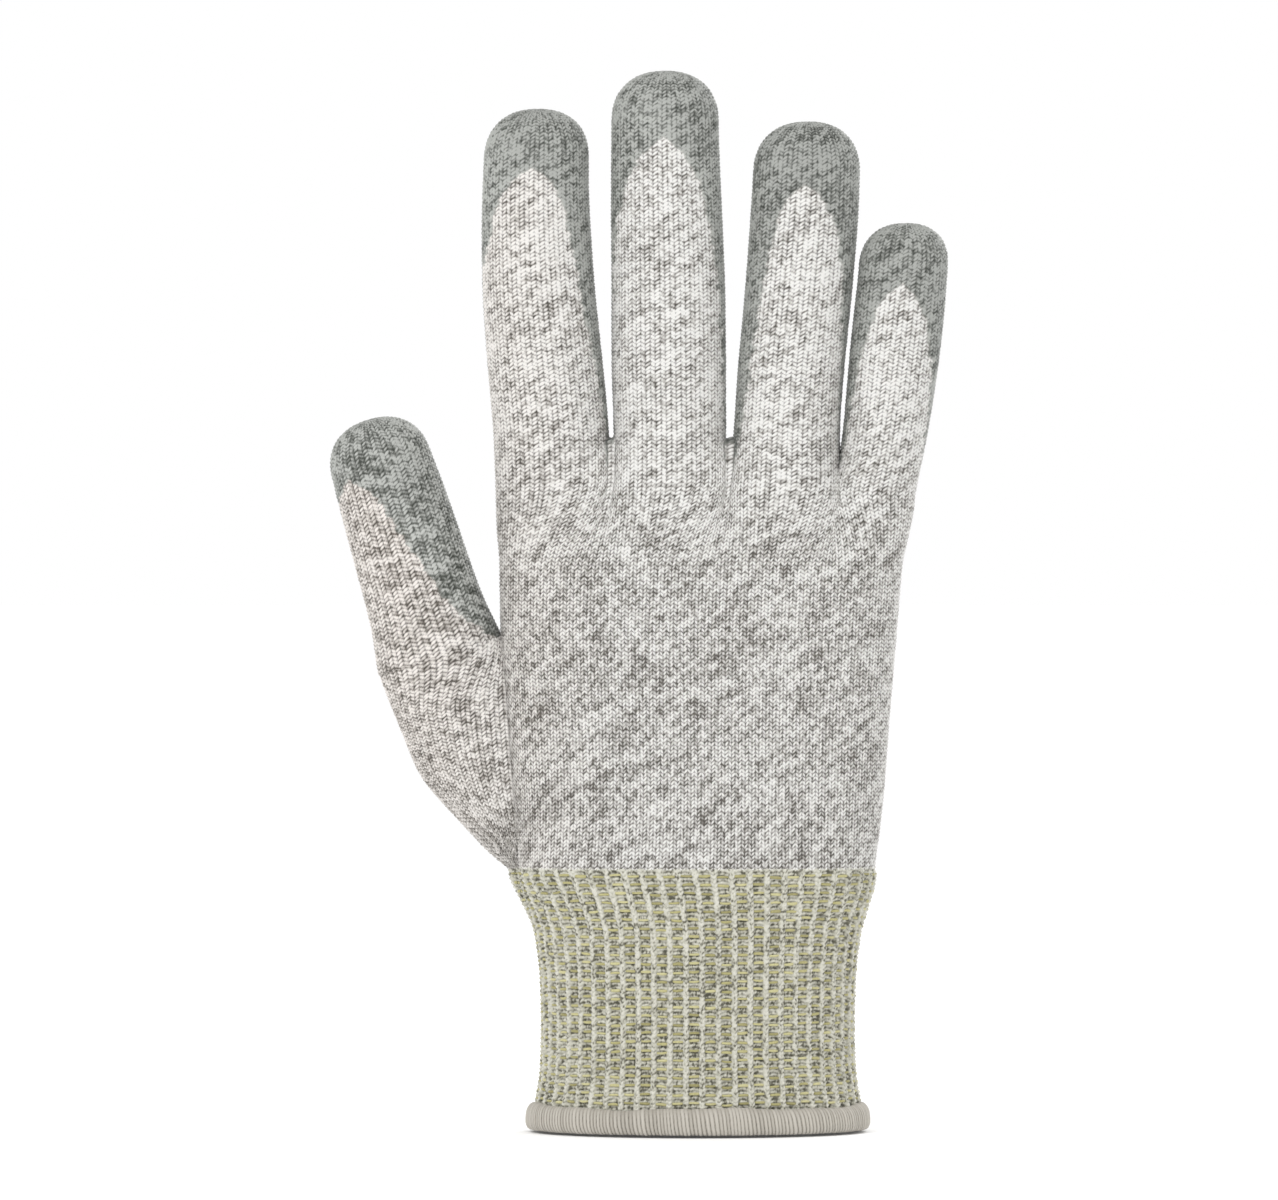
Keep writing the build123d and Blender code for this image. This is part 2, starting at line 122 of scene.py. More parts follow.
# wales on the back, heights of the breaks, tip, stations (height, centre, half width, half depth)
# and the edges of the bare back (height, edge towards the little finger, edge towards the thumb),
# as shares of the half width
FINGERS = {
    "index": dict(
        wales=17, breaks=[165.0, 181.0, 188.5, 208.0, 214.0, 226.0], tip=241.0,
        stations=[(150, 34.3, 13.2, 12.2), (165, 34.7, 13.3, 10.9), (179, 36.0, 13.3, 9.9),
                  (198, 37.7, 12.9, 9.7), (217, 38.4, 12.3, 9.4), (228, 38.3, 11.9, 9.2),
                  (241, 37.8, 11.9, 9.2)],
        bare=[(150, -0.98, 1.3), (165, -0.95, 1.3), (179, -0.86, 1.2), (191, -0.78, 1.1),
              (203, -0.7, 1.0), (210, -0.62, 0.86), (217, -0.52, 0.74), (222, -0.36, 0.58),
              (225, -0.2, 0.36), (227, 0.08, 0.08)]),
    "middle": dict(
        wales=17, breaks=[165.0, 181.0, 190.5, 210.5, 219.0, 231.0], tip=250.0,
        stations=[(150, 6.6, 13.2, 12.5), (165, 6.6, 12.8, 11.1), (180, 6.9, 13.1, 10.3),
                  (200, 7.0, 13.0, 9.9), (220, 7.5, 12.6, 9.6), (236, 7.8, 12.2, 9.3),
                  (250, 7.7, 12.2, 9.3)],
        bare=[(150, -1.0, 1.0), (165, -0.98, 1.0), (179, -0.95, 1.0), (191, -0.9, 0.99),
              (203, -0.84, 0.97), (215, -0.73, 0.9), (224, -0.58, 0.7), (229, -0.4, 0.5),
              (232, -0.2, 0.28), (234, 0.02, 0.02)]),
    "ring": dict(
        wales=16, breaks=[165.0, 181.0, 188.0, 207.5, 213.0, 225.0], tip=238.0,
        stations=[(150, -20.6, 13.0, 12.2), (165, -21.0, 12.0, 10.8), (179, -21.9, 12.1, 9.9),
                  (198, -23.8, 12.2, 9.6), (217, -25.3, 12.3, 9.3), (226, -25.7, 12.1, 9.1),
                  (238, -26.0, 12.1, 9.1)],
        bare=[(150, -1.0, 1.0), (160, -1.0, 0.93), (168, -0.97, 0.85), (180, -0.92, 0.76),
              (191, -0.86, 0.72), (203, -0.76, 0.64), (212, -0.6, 0.55), (217, -0.42, 0.42),
              (221, -0.2, 0.25), (223, 0.03, 0.03)]),
    "little": dict(
        wales=14, breaks=[159.0, 173.0, 175.5, 191.5, 194.0, 203.5], tip=214.0,
        stations=[(150, -41.0, 10.2, 10.6), (159, -43.5, 9.3, 9.8), (168, -44.8, 9.7, 9.1),
                  (179, -46.1, 10.1, 8.9), (191, -47.4, 10.3, 8.7), (203, -48.6, 10.0, 8.3),
                  (214, -49.2, 10.0, 8.3)],
        bare=[(150, -1.1, 1.0), (160, -0.97, 0.93), (172, -0.9, 0.86), (182, -0.8, 0.78),
              (190, -0.62, 0.62), (196, -0.35, 0.4), (200, 0.0, 0.0)]),
}
THUMB_BARE = [(-60, -1.4, 1.4), (-6, -1.2, 1.3), (0, -0.92, 1.3), (8.4, -0.5, 1.3),
              (20.9, -0.19, 1.3), (33.5, 0.12, 1.3), (38, 0.2, 1.15), (42, 0.36, 0.98),
              (45, 0.62, 0.78), (46, 0.7, 0.7)]
TIP_POWER = 2.35         # a fuller round than a ball's
ROOT_Z = {n: f["breaks"][0] for n, f in FINGERS.items()}
PALM_EDGE_X = HAND[4][2]  # the thumb's side of the palm, just above the crotch


# ---- small numeric helpers -------------------------------------------------------
def smoothstep(t):
    t = np.clip(t, 0.0, 1.0)
    return t * t * (3 - 2 * t)


def rise(z, start, length):
    """0 below the start, 1 past the length above it."""
    return smoothstep((z - start) / length)


def run_along(x, y):
    """Distance along a line of points from its first."""
    return np.concatenate([[0], np.cumsum(np.hypot(np.diff(x), np.diff(y)))])


def grid_quads(rows, columns):
    """Corners of the faces of a grid of points."""
    i, j = np.meshgrid(np.arange(rows - 1), np.arange(columns - 1), indexing="ij")
    a = i * columns + j
    return np.stack([a, a + 1, a + columns + 1, a + columns], -1)


def same_points(points, digits):
    """The first of each set of points that lie together, and the set each point is in."""
    _, first, of = np.unique(np.round(points, digits), axis=0, return_index=True,
                             return_inverse=True)
    return first, of.reshape(-1)


def smooth_table(rows, reach=5.0, step=0.25):
    """Columns 1.. of a table as smooth functions of column 0."""
    rows = np.array(rows, float)
    z = np.arange(rows[0, 0], rows[-1, 0] + step / 2, step)
    n = int(reach / step)
    kernel = np.ones(2 * n + 1) / (2 * n + 1)
    columns = []
    for k in range(1, rows.shape[1]):
        c = np.interp(z, rows[:, 0], rows[:, k])
        for _ in range(2):
            c = np.convolve(np.pad(c, n, mode="reflect", reflect_type="odd"), kernel, "valid")
        columns.append(c)
    return lambda q: [np.interp(q, z, c) for c in columns]


def lattice_noise(a, b, cells=512, seed=0):
    """Smooth noise from 0 to 1 over two coordinates."""
    table = np.random.default_rng(seed).random((cells, cells))
    ia, ib = np.floor(a).astype(int), np.floor(b).astype(int)
    fa, fb = smoothstep(a - ia), smoothstep(b - ib)
    at = lambda i, j: table[i % cells, j % cells]
    low = at(ia, ib) * (1 - fa) + at(ia + 1, ib) * fa
    high = at(ia, ib + 1) * (1 - fa) + at(ia + 1, ib + 1) * fa
    return low * (1 - fb) + high * fb


def union(power, *heights):
    """Heights of several rounded forms merged with a soft valley between them."""
    return sum(np.maximum(h, 0) ** power for h in heights) ** (1 / power)


def rows_between(levels, step):
    """Levels with even rows between them, each given level being a row."""
    out = [np.array([levels[0]])]
    for low, high in zip(levels, levels[1:]):
        out.append(np.linspace(low, high, max(1, round((high - low) / step)) + 1)[1:])
    return np.concatenate(out)


# ---- the glove's form: half widths across X, heights out of the XZ plane --------
hand_shape = smooth_table(HAND)
finger_shape = {n: smooth_table(f["stations"]) for n, f in FINGERS.items()}


def make_thumb_line():
    """The thumb's centre line, against the distance from its crotch."""
    rows, t = [], 0.0
    for k in range(len(THUMB_ROOT) - 1, -1, -1):
        x, z, lean, width, depth = THUMB_ROOT[k]
        if k < len(THUMB_ROOT) - 1:
            nx, nz = THUMB_ROOT[k + 1][:2]
            t -= math.hypot(nx - x, nz - z)
        rows.insert(0, (t, x, z, lean, width, depth))
    s, c = math.sin(math.radians(THUMB_LEAN)), math.cos(math.radians(THUMB_LEAN))
    for t, width, depth in THUMB[1:]:
        rows.append((t, THUMB_ORIGIN[0] + t * s, THUMB_ORIGIN[1] + t * c, THUMB_LEAN, width, depth))
    return smooth_table(rows, reach=3.0), rows[0][0]


thumb_line, THUMB_START = make_thumb_line()


def thumb_at(t):
    """Centre, direction and half sizes of the thumb at a distance along it."""
    x, z, lean, width, depth = thumb_line(t)
    lean = np.radians(lean)
    return x, z, np.cos(lean), -np.sin(lean), width, depth


CX, CZ, NX, NZ, CW, CD = thumb_at(0.0)
CROTCH_X, CROTCH_Z = CX - CW * NX, CZ - CW * NZ
SEAM_LOW_X = hand_shape(CUFF_TOP)[1]


def seam_x(z):
    """The line in the hand where the thumb's stitches join it."""
    return np.interp(z, [CUFF_TOP, CROTCH_Z], [SEAM_LOW_X, CROTCH_X])


def hand_edges(z):
    left, right, depth = hand_shape(z)
    right = np.where(z < CROTCH_Z, seam_x(z), CROTCH_X + (right - PALM_EDGE_X) * rise(z, CROTCH_Z, 10.0))
    spread = rise(z, *SIDE_RISE)
    c, w, _ = finger_shape["little"](z)
    left = (1 - spread) * left + spread * (c - w)
    c, w, _ = finger_shape["index"](z)
    right = (1 - spread) * right + spread * (c + w)
    return left, right, depth, spread


def slab_height(x, z):
    """Half depth of the hand without the thumb and fingers."""
    left, right, depth, _ = hand_edges(z)
    across = np.clip(np.abs(x - (left + right) / 2) / ((right - left) / 2), 0, 1)
    top = LITTLE_WEB_TOP + (WEB_TOP - LITTLE_WEB_TOP) * smoothstep((x - LITTLE_WEB_X) / 8.0)
    close = np.sqrt(1 - np.clip((z - (top - WEB_CLOSE)) / WEB_CLOSE, 0, 1) ** 2)
    return depth * (1 - across ** HAND_POWER) ** (1 / HAND_POWER) * close


def thumb_height(x, z):
    """Half depth of the thumb's root at points in the XZ plane."""
    t = np.arange(THUMB_START, THUMB_REACH, 0.5)
    cx, cz, _, _, width, depth = thumb_at(t)
    out = np.zeros(x.shape)
    near = np.flatnonzero((x.ravel() > THUMB_NEAR[0]) & (z.ravel() < THUMB_NEAR[1]))
    for part in np.array_split(near, max(1, len(near) // 20000)):
        px, pz = x.ravel()[part, None], z.ravel()[part, None]
        d2 = (px - cx) ** 2 + (pz - cz) ** 2
        k = d2.argmin(1)
        d = np.sqrt(d2[np.arange(len(part)), k])
        fade = rise(t[k], THUMB_START, THUMB_RISE)
        out.ravel()[part] = fade * depth[k] * np.sqrt(np.clip(1 - (d / width[k]) ** 2, 0, 1))
    return out


def finger_height(name, x, z):
    c, w, d = finger_shape[name](z)
    return rise(z, *FINGER_RISE) * d * np.sqrt(np.clip(1 - ((x - c) / w) ** 2, 0, 1))


def hand_height(x, z):
    """Height of the back over the XZ plane. The palm is its mirror."""
    hand = union(FINGER_BLEND, slab_height(x, z), *(finger_height(n, x, z) for n in FINGERS))
    return union(THUMB_BLEND, hand, thumb_height(x, z))


# ---- collecting grids ------------------------------------------------------------
class Surface:
    """Grids of one knitted surface, welded where they meet."""

    def __init__(self):
        self.points, self.wale, self.course = [], [], []
        self.mask, self.quads, self.keys = [], [], []
        self.place, self.count, self.strip = [], 0, 0.0

    def grid(self, points, wale, course, mask, key_of_row, flip=False, keep=None):
        """Adds rows by columns of points. key_of_row names the piece of each row of faces."""
        rows, columns = points.shape[:2]
        shape = (rows, columns)
        self.points.append(points.reshape(-1, 3))
        self.wale.append(np.broadcast_to(wale, shape).ravel())
        self.course.append(np.broadcast_to(course, shape).ravel())
        self.mask.append(np.broadcast_to(mask, shape).ravel())
        quad = self.count + grid_quads(rows, columns)
        if flip:
            quad = quad[..., ::-1]
        keys = np.array(key_of_row, dtype=object)[:, None].repeat(columns - 1, 1)
        chosen = np.ones((rows - 1, columns - 1), bool) if keep is None else keep
        self.quads.append(quad[chosen])
        self.keys.append(keys[chosen])
        r, c = np.meshgrid(np.arange(rows), np.arange(columns), indexing="ij")
        self.place.append(np.stack([self.strip + c.ravel(), r.ravel()], -1).astype(float))
        self.strip += columns + 2
        self.count += rows * columns

    def weld(self):
        """Joins points that lie together and finds the plain surface's normals."""
        points = np.concatenate(self.points)
        self.wale, self.course, self.mask = map(np.concatenate, (self.wale, self.course, self.mask))
        self.quads, self.keys = np.concatenate(self.quads), np.concatenate(self.keys)
        self.place = np.concatenate(self.place)
        first, self.of = same_points(points, 3)
        self.base = points[first]
        number = np.bincount(self.of, minlength=len(first))
        self.mean = lambda v: np.bincount(self.of, v, minlength=len(first)) / number
        self.normal = normals_of(self.base, self.of[self.quads])


def normals_of(points, quads):
    """Normals of the points of a mesh, weighted by area."""
    across = points[quads[:, 2]] - points[quads[:, 0]]
    along = points[quads[:, 3]] - points[quads[:, 1]]
    face = np.cross(across, along)
    out = np.zeros_like(points)
    for axis in range(3):
        for corner in range(4):
            out[:, axis] += np.bincount(quads[:, corner], face[:, axis], minlength=len(points))
    return out / np.maximum(np.linalg.norm(out, axis=1, keepdims=True), 1e-12)


# ---- coating mask ----------------------------------------------------------------
def edge_noise(wale, course):
    return 0.10 * (lattice_noise(wale * 0.9, course * 0.9, seed=5) - 0.5) + \
        0.05 * (lattice_noise(wale * 2.0, course * 2.0, seed=6) - 0.5)


def digit_mask(bare, level, share, palm, wale, course):
    """1 where a finger is coated. share runs from -1 to 1 across it."""
    table = np.array(bare, float)
    low, high = (np.interp(level, table[:, 0], table[:, k]) for k in (1, 2))
    past = np.maximum(level - table[-1, 0], 0) * 0.09
    side = np.where(palm, np.sign(share), share)
    outside = np.maximum(low - side, side - high) + past
    round_by = np.where(palm, 0.10 + np.arccos(np.clip(np.abs(share), 0, 1)) * 1.3, 0.0)
    return smoothstep((outside + round_by + edge_noise(wale, course)) / 0.16 + 0.5)


# ---- the hand --------------------------------------------------------------------
def column_plan():
    """Owner and share across it of each column of the hand, from the index finger's side."""
    owners, shares = [], []
    names = ["index", "middle", "ring", "little"]
    for k, name in enumerate(names):
        n = FINGERS[name]["wales"] * PER_WALE
        owners += [name] * (n + 1)
        shares += list(np.arange(n + 1) / n)
        if k < 3:
            owners += ["web%d" % k] * 3
            shares += [0.25, 0.5, 0.75]
    return np.array(owners), np.array(shares), names


def even_columns(z, share):
    """Columns at equal distances over the round section of the hand."""
    left, right, depth = hand_shape(z)
    right = np.where(z < CROTCH_Z, seam_x(z), right)
    turn = np.linspace(0, math.pi, 721)
    cx = np.sign(np.cos(turn)) * np.abs(np.cos(turn)) ** (2 / HAND_POWER)
    cy = np.abs(np.sin(turn)) ** (2 / HAND_POWER)
    out = np.empty((len(z), len(share)))
    for i in range(len(z)):
        half = (right[i] - left[i]) / 2
        x, y = (right[i] + left[i]) / 2 + half * cx, depth[i] * cy
        run = run_along(x, y)
        out[i] = np.interp(share * run[-1], run, x)
    return out


def build_hand(surface):
    owners, shares, names = column_plan()
    levels = [CUFF_TOP, WRIST_TOP, float(CROTCH_Z), FOLD_LOW, FOLD_HIGH, LITTLE_WEB_TOP, ROOT_Z["little"],
              WEB_TOP, ROOT_Z["index"]]
    z = rows_between(levels, ROW)
    x = even_columns(z, np.linspace(0, 1, len(shares)))
    spread = hand_edges(z)[3][:, None]
    own = np.empty_like(x)
    sizes = {n: finger_shape[n](z) for n in names}
    for j, (owner, p) in enumerate(zip(owners, shares)):
        if owner in sizes:
            c, w, _ = sizes[owner]
            own[:, j] = c + w * math.cos(math.pi * p)
        else:
            k = int(owner[3:])
            (ca, wa, _), (cb, wb, _) = sizes[names[k]], sizes[names[k + 1]]
            own[:, j] = (ca - wa) * (1 - p) + (cb + wb) * p
    x = (1 - spread) * x + spread * own
    zz = np.broadcast_to(z[:, None], x.shape)
    below = zz < CROTCH_Z - 1e-6
    height = hand_height(x, zz)
    height[~below[:, 0], 0] = 0.0
    height[:, -1] = 0.0
    course = np.broadcast_to(z[:, None] / COURSE, x.shape)
    left, right = (v[:, None] for v in hand_edges(z)[:2])
    from_edge = np.where(below, x - left, np.minimum(x - left, right - x))
    grown = rise(zz, *COAT_RISE)
    web = np.char.startswith(owners, "web")
    crest = np.where(owners[web] == "web2", LITTLE_WEB_TOP, WEB_TOP)
    column_owner = np.where(~web[:-1] & web[1:], owners[1:], owners[:-1])
    ends = {"web0": WEB_TOP, "web1": WEB_TOP, "web2": LITTLE_WEB_TOP, "little": ROOT_Z["little"]}
    end = np.array([ends.get(o, ROOT_Z["index"]) for o in column_owner])
    keep = z[:-1, None] < end[None, :] - 1e-6
    zone = np.select([z[:-1] < top - 1e-6 for top in (WRIST_TOP, FOLD_LOW, FOLD_HIGH)],
                     ["wrist", "palm", "knuckle_fold"], "finger_base")
    for side in (False, True):
        wale = (np.arange(len(shares)) + 1) / PER_WALE + OTHER_SIDE * side
        wale = np.broadcast_to(wale, x.shape)
        mask = smoothstep((from_edge + 0.4) / 1.4) if side else np.zeros_like(x)
        for n in names:
            mine = owners == n
            level = zz[:, mine]
            share = np.broadcast_to(np.cos(math.pi * shares[mine]), level.shape)
            digit = digit_mask(FINGERS[n]["bare"], level, share, side, wale[:, mine],
                               course[:, mine])
            mask[:, mine] = (1 - grown[:, mine]) * mask[:, mine] + grown[:, mine] * digit
        mask[:, web] = 1.0 if side else smoothstep((zz[:, web] - crest + 2.6) / 2.0)
        y = -height if side else height
        surface.grid(np.stack([x, y, zz], -1), wale, course, mask, zone, flip=side, keep=keep)
    return z[z < CROTCH_Z + 1e-6]


# ---- thumb: its root beside the hand's rows, then its tube ------------------------
def build_thumb(surface, hand_rows):
    """Rows that carry the hand's courses on over the thumb's root, turning square to the thumb."""
    sx, sz = seam_x(hand_rows)[:, None], hand_rows[:, None]
    lean = np.radians(THUMB_LEAN) * smoothstep((sz - CUFF_TOP) / (CROTCH_Z - CUFF_TOP))
    run = np.linspace(0, 44.0, 441)[None, :]
    height = hand_height(sx + run * np.cos(lean), sz - run * np.sin(lean))
    inside = height > 0.02
    edge = np.array([run[0, np.flatnonzero(row)[-1]] if row.any() else 0.0 for row in inside])
    edge[-1] = 2 * CW
    n = THUMB_WALES * PER_WALE
    turn = np.pi * np.arange(n + 1) / n
    reach = np.empty((len(hand_rows), n + 1))
    reach[-1] = CW * (1 - np.cos(turn))
    for i in range(len(hand_rows) - 1):
        k = max(2, int(np.searchsorted(run[0], edge[i])))
        h = np.append(height[i, :k], 0.0)
        d = np.append(run[0, :k], edge[i])
        girth = run_along(d, h)
        reach[i] = np.interp(np.linspace(0, girth[-1], n + 1), girth, d)
    share_in = rise(sz, CROTCH_Z - THUMB_SQUARE, THUMB_SQUARE)
    half = edge[:, None] / 2
    reach = reach * (1 - share_in) + half * (1 - np.cos(turn)) * share_in
    x, z = sx + reach * np.cos(lean), sz - reach * np.sin(lean)
    x[:, 0], z[:, 0] = sx[:, 0], sz[:, 0]
    tall = hand_height(x, z)
    tall[:, -1] = 0.0
    tall[-1] = CD * np.sin(turn)
    tall[-1, [0, -1]] = 0.0
    course = np.broadcast_to(hand_rows[:, None] / COURSE, x.shape)
    from_thumb = np.clip((reach - half) / np.maximum(half, 1.0), -1, 1)
    level = np.broadcast_to(-(CROTCH_Z - sz), x.shape)
    zone = np.where(hand_rows[:-1] < WRIST_TOP - 1e-6, "wrist", "palm")
    for side in (False, True):
        wale = (np.arange(n + 1) + 1) / PER_WALE + (THUMB_WALE + OTHER_SIDE * side)
        wale = np.broadcast_to(wale, x.shape)
        outer = np.maximum(from_thumb, 0.0 if side else -0.9)
        mask = digit_mask(THUMB_BARE, level, outer, side, wale, course)
        y = -tall if side else tall
        surface.grid(np.stack([x, y, z], -1), wale, course, mask, zone, flip=not side)
    s, c = math.sin(math.radians(THUMB_LEAN)), math.cos(math.radians(THUMB_LEAN))

    def place(along, across, deep):
        px = THUMB_ORIGIN[0] + along * s + across * c
        pz = THUMB_ORIGIN[1] + along * c - across * s
        return np.stack([px, deep, pz], -1)

    names = ["palm", "thumb_root_fold", "thumb_proximal", "thumb_knuckle_fold", "thumb_tip"]
    build_tube(surface, lambda q: [0 * np.asarray(q), *thumb_at(q)[4:]], [0.0, *THUMB_BREAKS],
               THUMB_TIP, THUMB_WALES, names, THUMB_BARE, place,
               course0=CROTCH_Z / COURSE, wale0=THUMB_WALE + 1 / PER_WALE, flip=True)


def build_tube(surface, shape, breaks, tip, wales, names, bare, place, course0, wale0, flip=False):
    """A finger: straight rows, then a rounded end whose rows close on its tip."""
    n = wales * PER_WALE
    radius = float(shape(tip)[1]) * 0.97
    start = tip - radius
    straight = rows_between([b for b in breaks if b < start - 0.5] + [start], ROW)
    steps = max(6, round(radius * 1.5 / ROW))
    turn = np.linspace(0, math.pi / 2, steps + 1)[1:]
    rise = np.sin(turn) ** (2 / TIP_POWER)
    close = np.cos(turn) ** (2 / TIP_POWER)
    close[-1] = 0.0
    level = np.concatenate([straight, start + radius * rise])
    size = np.concatenate([np.ones(len(straight)), close])
    c, w, d = (np.asarray(v)[:, None] for v in shape(level))
    run = np.concatenate([[0], np.cumsum(np.hypot(np.diff(level), np.diff(size) * w[1:, 0]))])
    course = course0 + run[:, None] / COURSE
    p = np.arange(n + 1) / n
    across = np.cos(math.pi * p)
    deep = np.sin(math.pi * p)
    deep[[0, -1]] = 0.0
    if flip:
        across = -across
    zone = []
    for z in level[:-1]:
        k = sum(z > b - 1e-6 for b in breaks[1:])
        zone.append(names[k])
    for side in (False, True):
        y = d * size[:, None] * deep * (-1 if side else 1)
        x = c + w * size[:, None] * across
        lv = np.broadcast_to(level[:, None], x.shape)
        wale = np.broadcast_to(p * wales + wale0 + OTHER_SIDE * side, x.shape)
        cc = np.broadcast_to(course, x.shape)
        mask = digit_mask(bare, lv, np.broadcast_to(across, x.shape), side, wale, cc)
        surface.grid(place(lv, x, y), wale, cc, mask, zone, flip=side != flip)


def build_fingers(surface):
    wale = 1 / PER_WALE
    for name in ("index", "middle", "ring", "little"):
        f = FINGERS[name]
        zones = ["root_fold", "proximal", "knuckle_fold", "middle", "end_knuckle_fold", "tip"]
        build_tube(surface, finger_shape[name], f["breaks"], f["tip"], f["wales"],
                   ["%s_%s" % (name, z) for z in zones], f["bare"],
                   lambda along, across, deep: np.stack([across, deep, along], -1),
                   course0=ROOT_Z[name] / COURSE, wale0=wale)
        wale += f["wales"] + 4.0 / PER_WALE


# ---- relief ----------------------------------------------------------------------
def stitch_form(u, course, climb):
    """Legs of a column of stitches over the share u of its width, and the V they make per row."""
    legs = np.abs(np.sin(2 * np.pi * u)) ** 0.6
    return legs, 0.5 + 0.5 * np.cos(2 * np.pi * (course + climb * np.abs(2 * u - 1)))


def knit_relief(wale, course):
    """Height of a plain knit over its wales and courses, from 0 to about 1."""
    legs, chevron = stitch_form(wale - np.floor(wale), course, LEG_RISE)
    loose = lattice_noise(wale * 1.6, course * 1.1, seed=1) - 0.5
    return 0.82 * chevron ** 0.8 * (0.56 + 0.44 * legs) + 0.20 * legs + 0.30 * loose


def heather(wale, course, streaks=1.0):
    """Light and dark yarn, 0 to 1: small flecks, in faint bands that climb across the wales."""
    row = course + LEG_RISE * np.abs(2 * (wale - np.floor(wale)) - 1)
    fleck = lattice_noise(wale * 2.6, row * 1.15, seed=2)
    speck = lattice_noise(wale * 5.1, row * 2.6, seed=4)
    x, z = wale * WALE, course * COURSE
    climb = lattice_noise((x * 0.78 + z * 0.62) / 4.6, (z * 0.78 - x * 0.62) / 1.10, seed=3)
    cloud = lattice_noise(x / 9.0, z / 8.0, seed=10)
    yarn = 0.68 * (fleck - 0.5) + 0.64 * (speck - 0.5)
    bands = 0.44 * (climb - 0.5) + 0.10 * (cloud - 0.5)
    return np.clip(0.53 + yarn + streaks * bands, 0, 1)


def unit_map(uv):
    """Maps a piece's own coordinates into the unit square, with a small margin."""
    low, high = uv.reshape(-1, 2).min(0), uv.reshape(-1, 2).max(0)
    return 0.004 + 0.992 * (uv - low) / np.maximum(high - low, 1e-9)


def mesh_object(name, points, quads, uv, detail, normals, place):
    """A piece from arrays in millimetres, with its knit map, a paint map and smooth normals."""
    used, local = np.unique(quads, return_inverse=True)
    local = local.reshape(quads.shape)
    pts = (points[used] * MM).astype(np.float32)
    collapsed = np.stack([local[:, k] == local[:, (k + 1) % 4] for k in range(4)], 1)
    doubled = collapsed.sum(1)
    order = np.concatenate([np.flatnonzero(doubled == 0), np.flatnonzero(doubled == 1)])
    kept = ~collapsed[order]
    loop_vertex = local[order][kept]
    source = (order[:, None] * 4 + np.arange(4))[kept]
    totals = kept.sum(1)
    mesh = bpy.data.meshes.new(name)
    mesh.vertices.add(len(pts))
    mesh.vertices.foreach_set("co", pts.ravel())
    mesh.loops.add(len(loop_vertex))
    mesh.loops.foreach_set("vertex_index", loop_vertex.astype(np.int32))
    mesh.polygons.add(len(totals))
    starts = np.concatenate([[0], np.cumsum(totals)[:-1]])
    mesh.polygons.foreach_set("loop_start", starts.astype(np.int32))
    mesh.update(calc_edges=True)
    for layer, at in (("Knit", uv), ("OFBake", unit_map(place))):
        corners = at.reshape(-1, 2)[source].astype(np.float32)
        mesh.uv_layers.new(name=layer).data.foreach_set("uv", corners.ravel())
    attribute = mesh.attributes.new("Detail", "FLOAT_COLOR", "POINT")
    attribute.data.foreach_set("color", detail[used].astype(np.float32).ravel())
    mesh.polygons.foreach_set("use_smooth", np.ones(len(totals), bool))
    mesh.normals_split_custom_set_from_vertices(normals[used].astype(np.float32))
    mesh.update()
    obj = bpy.data.objects.new(name, mesh)
    bpy.context.scene.collection.objects.link(obj)
    return obj


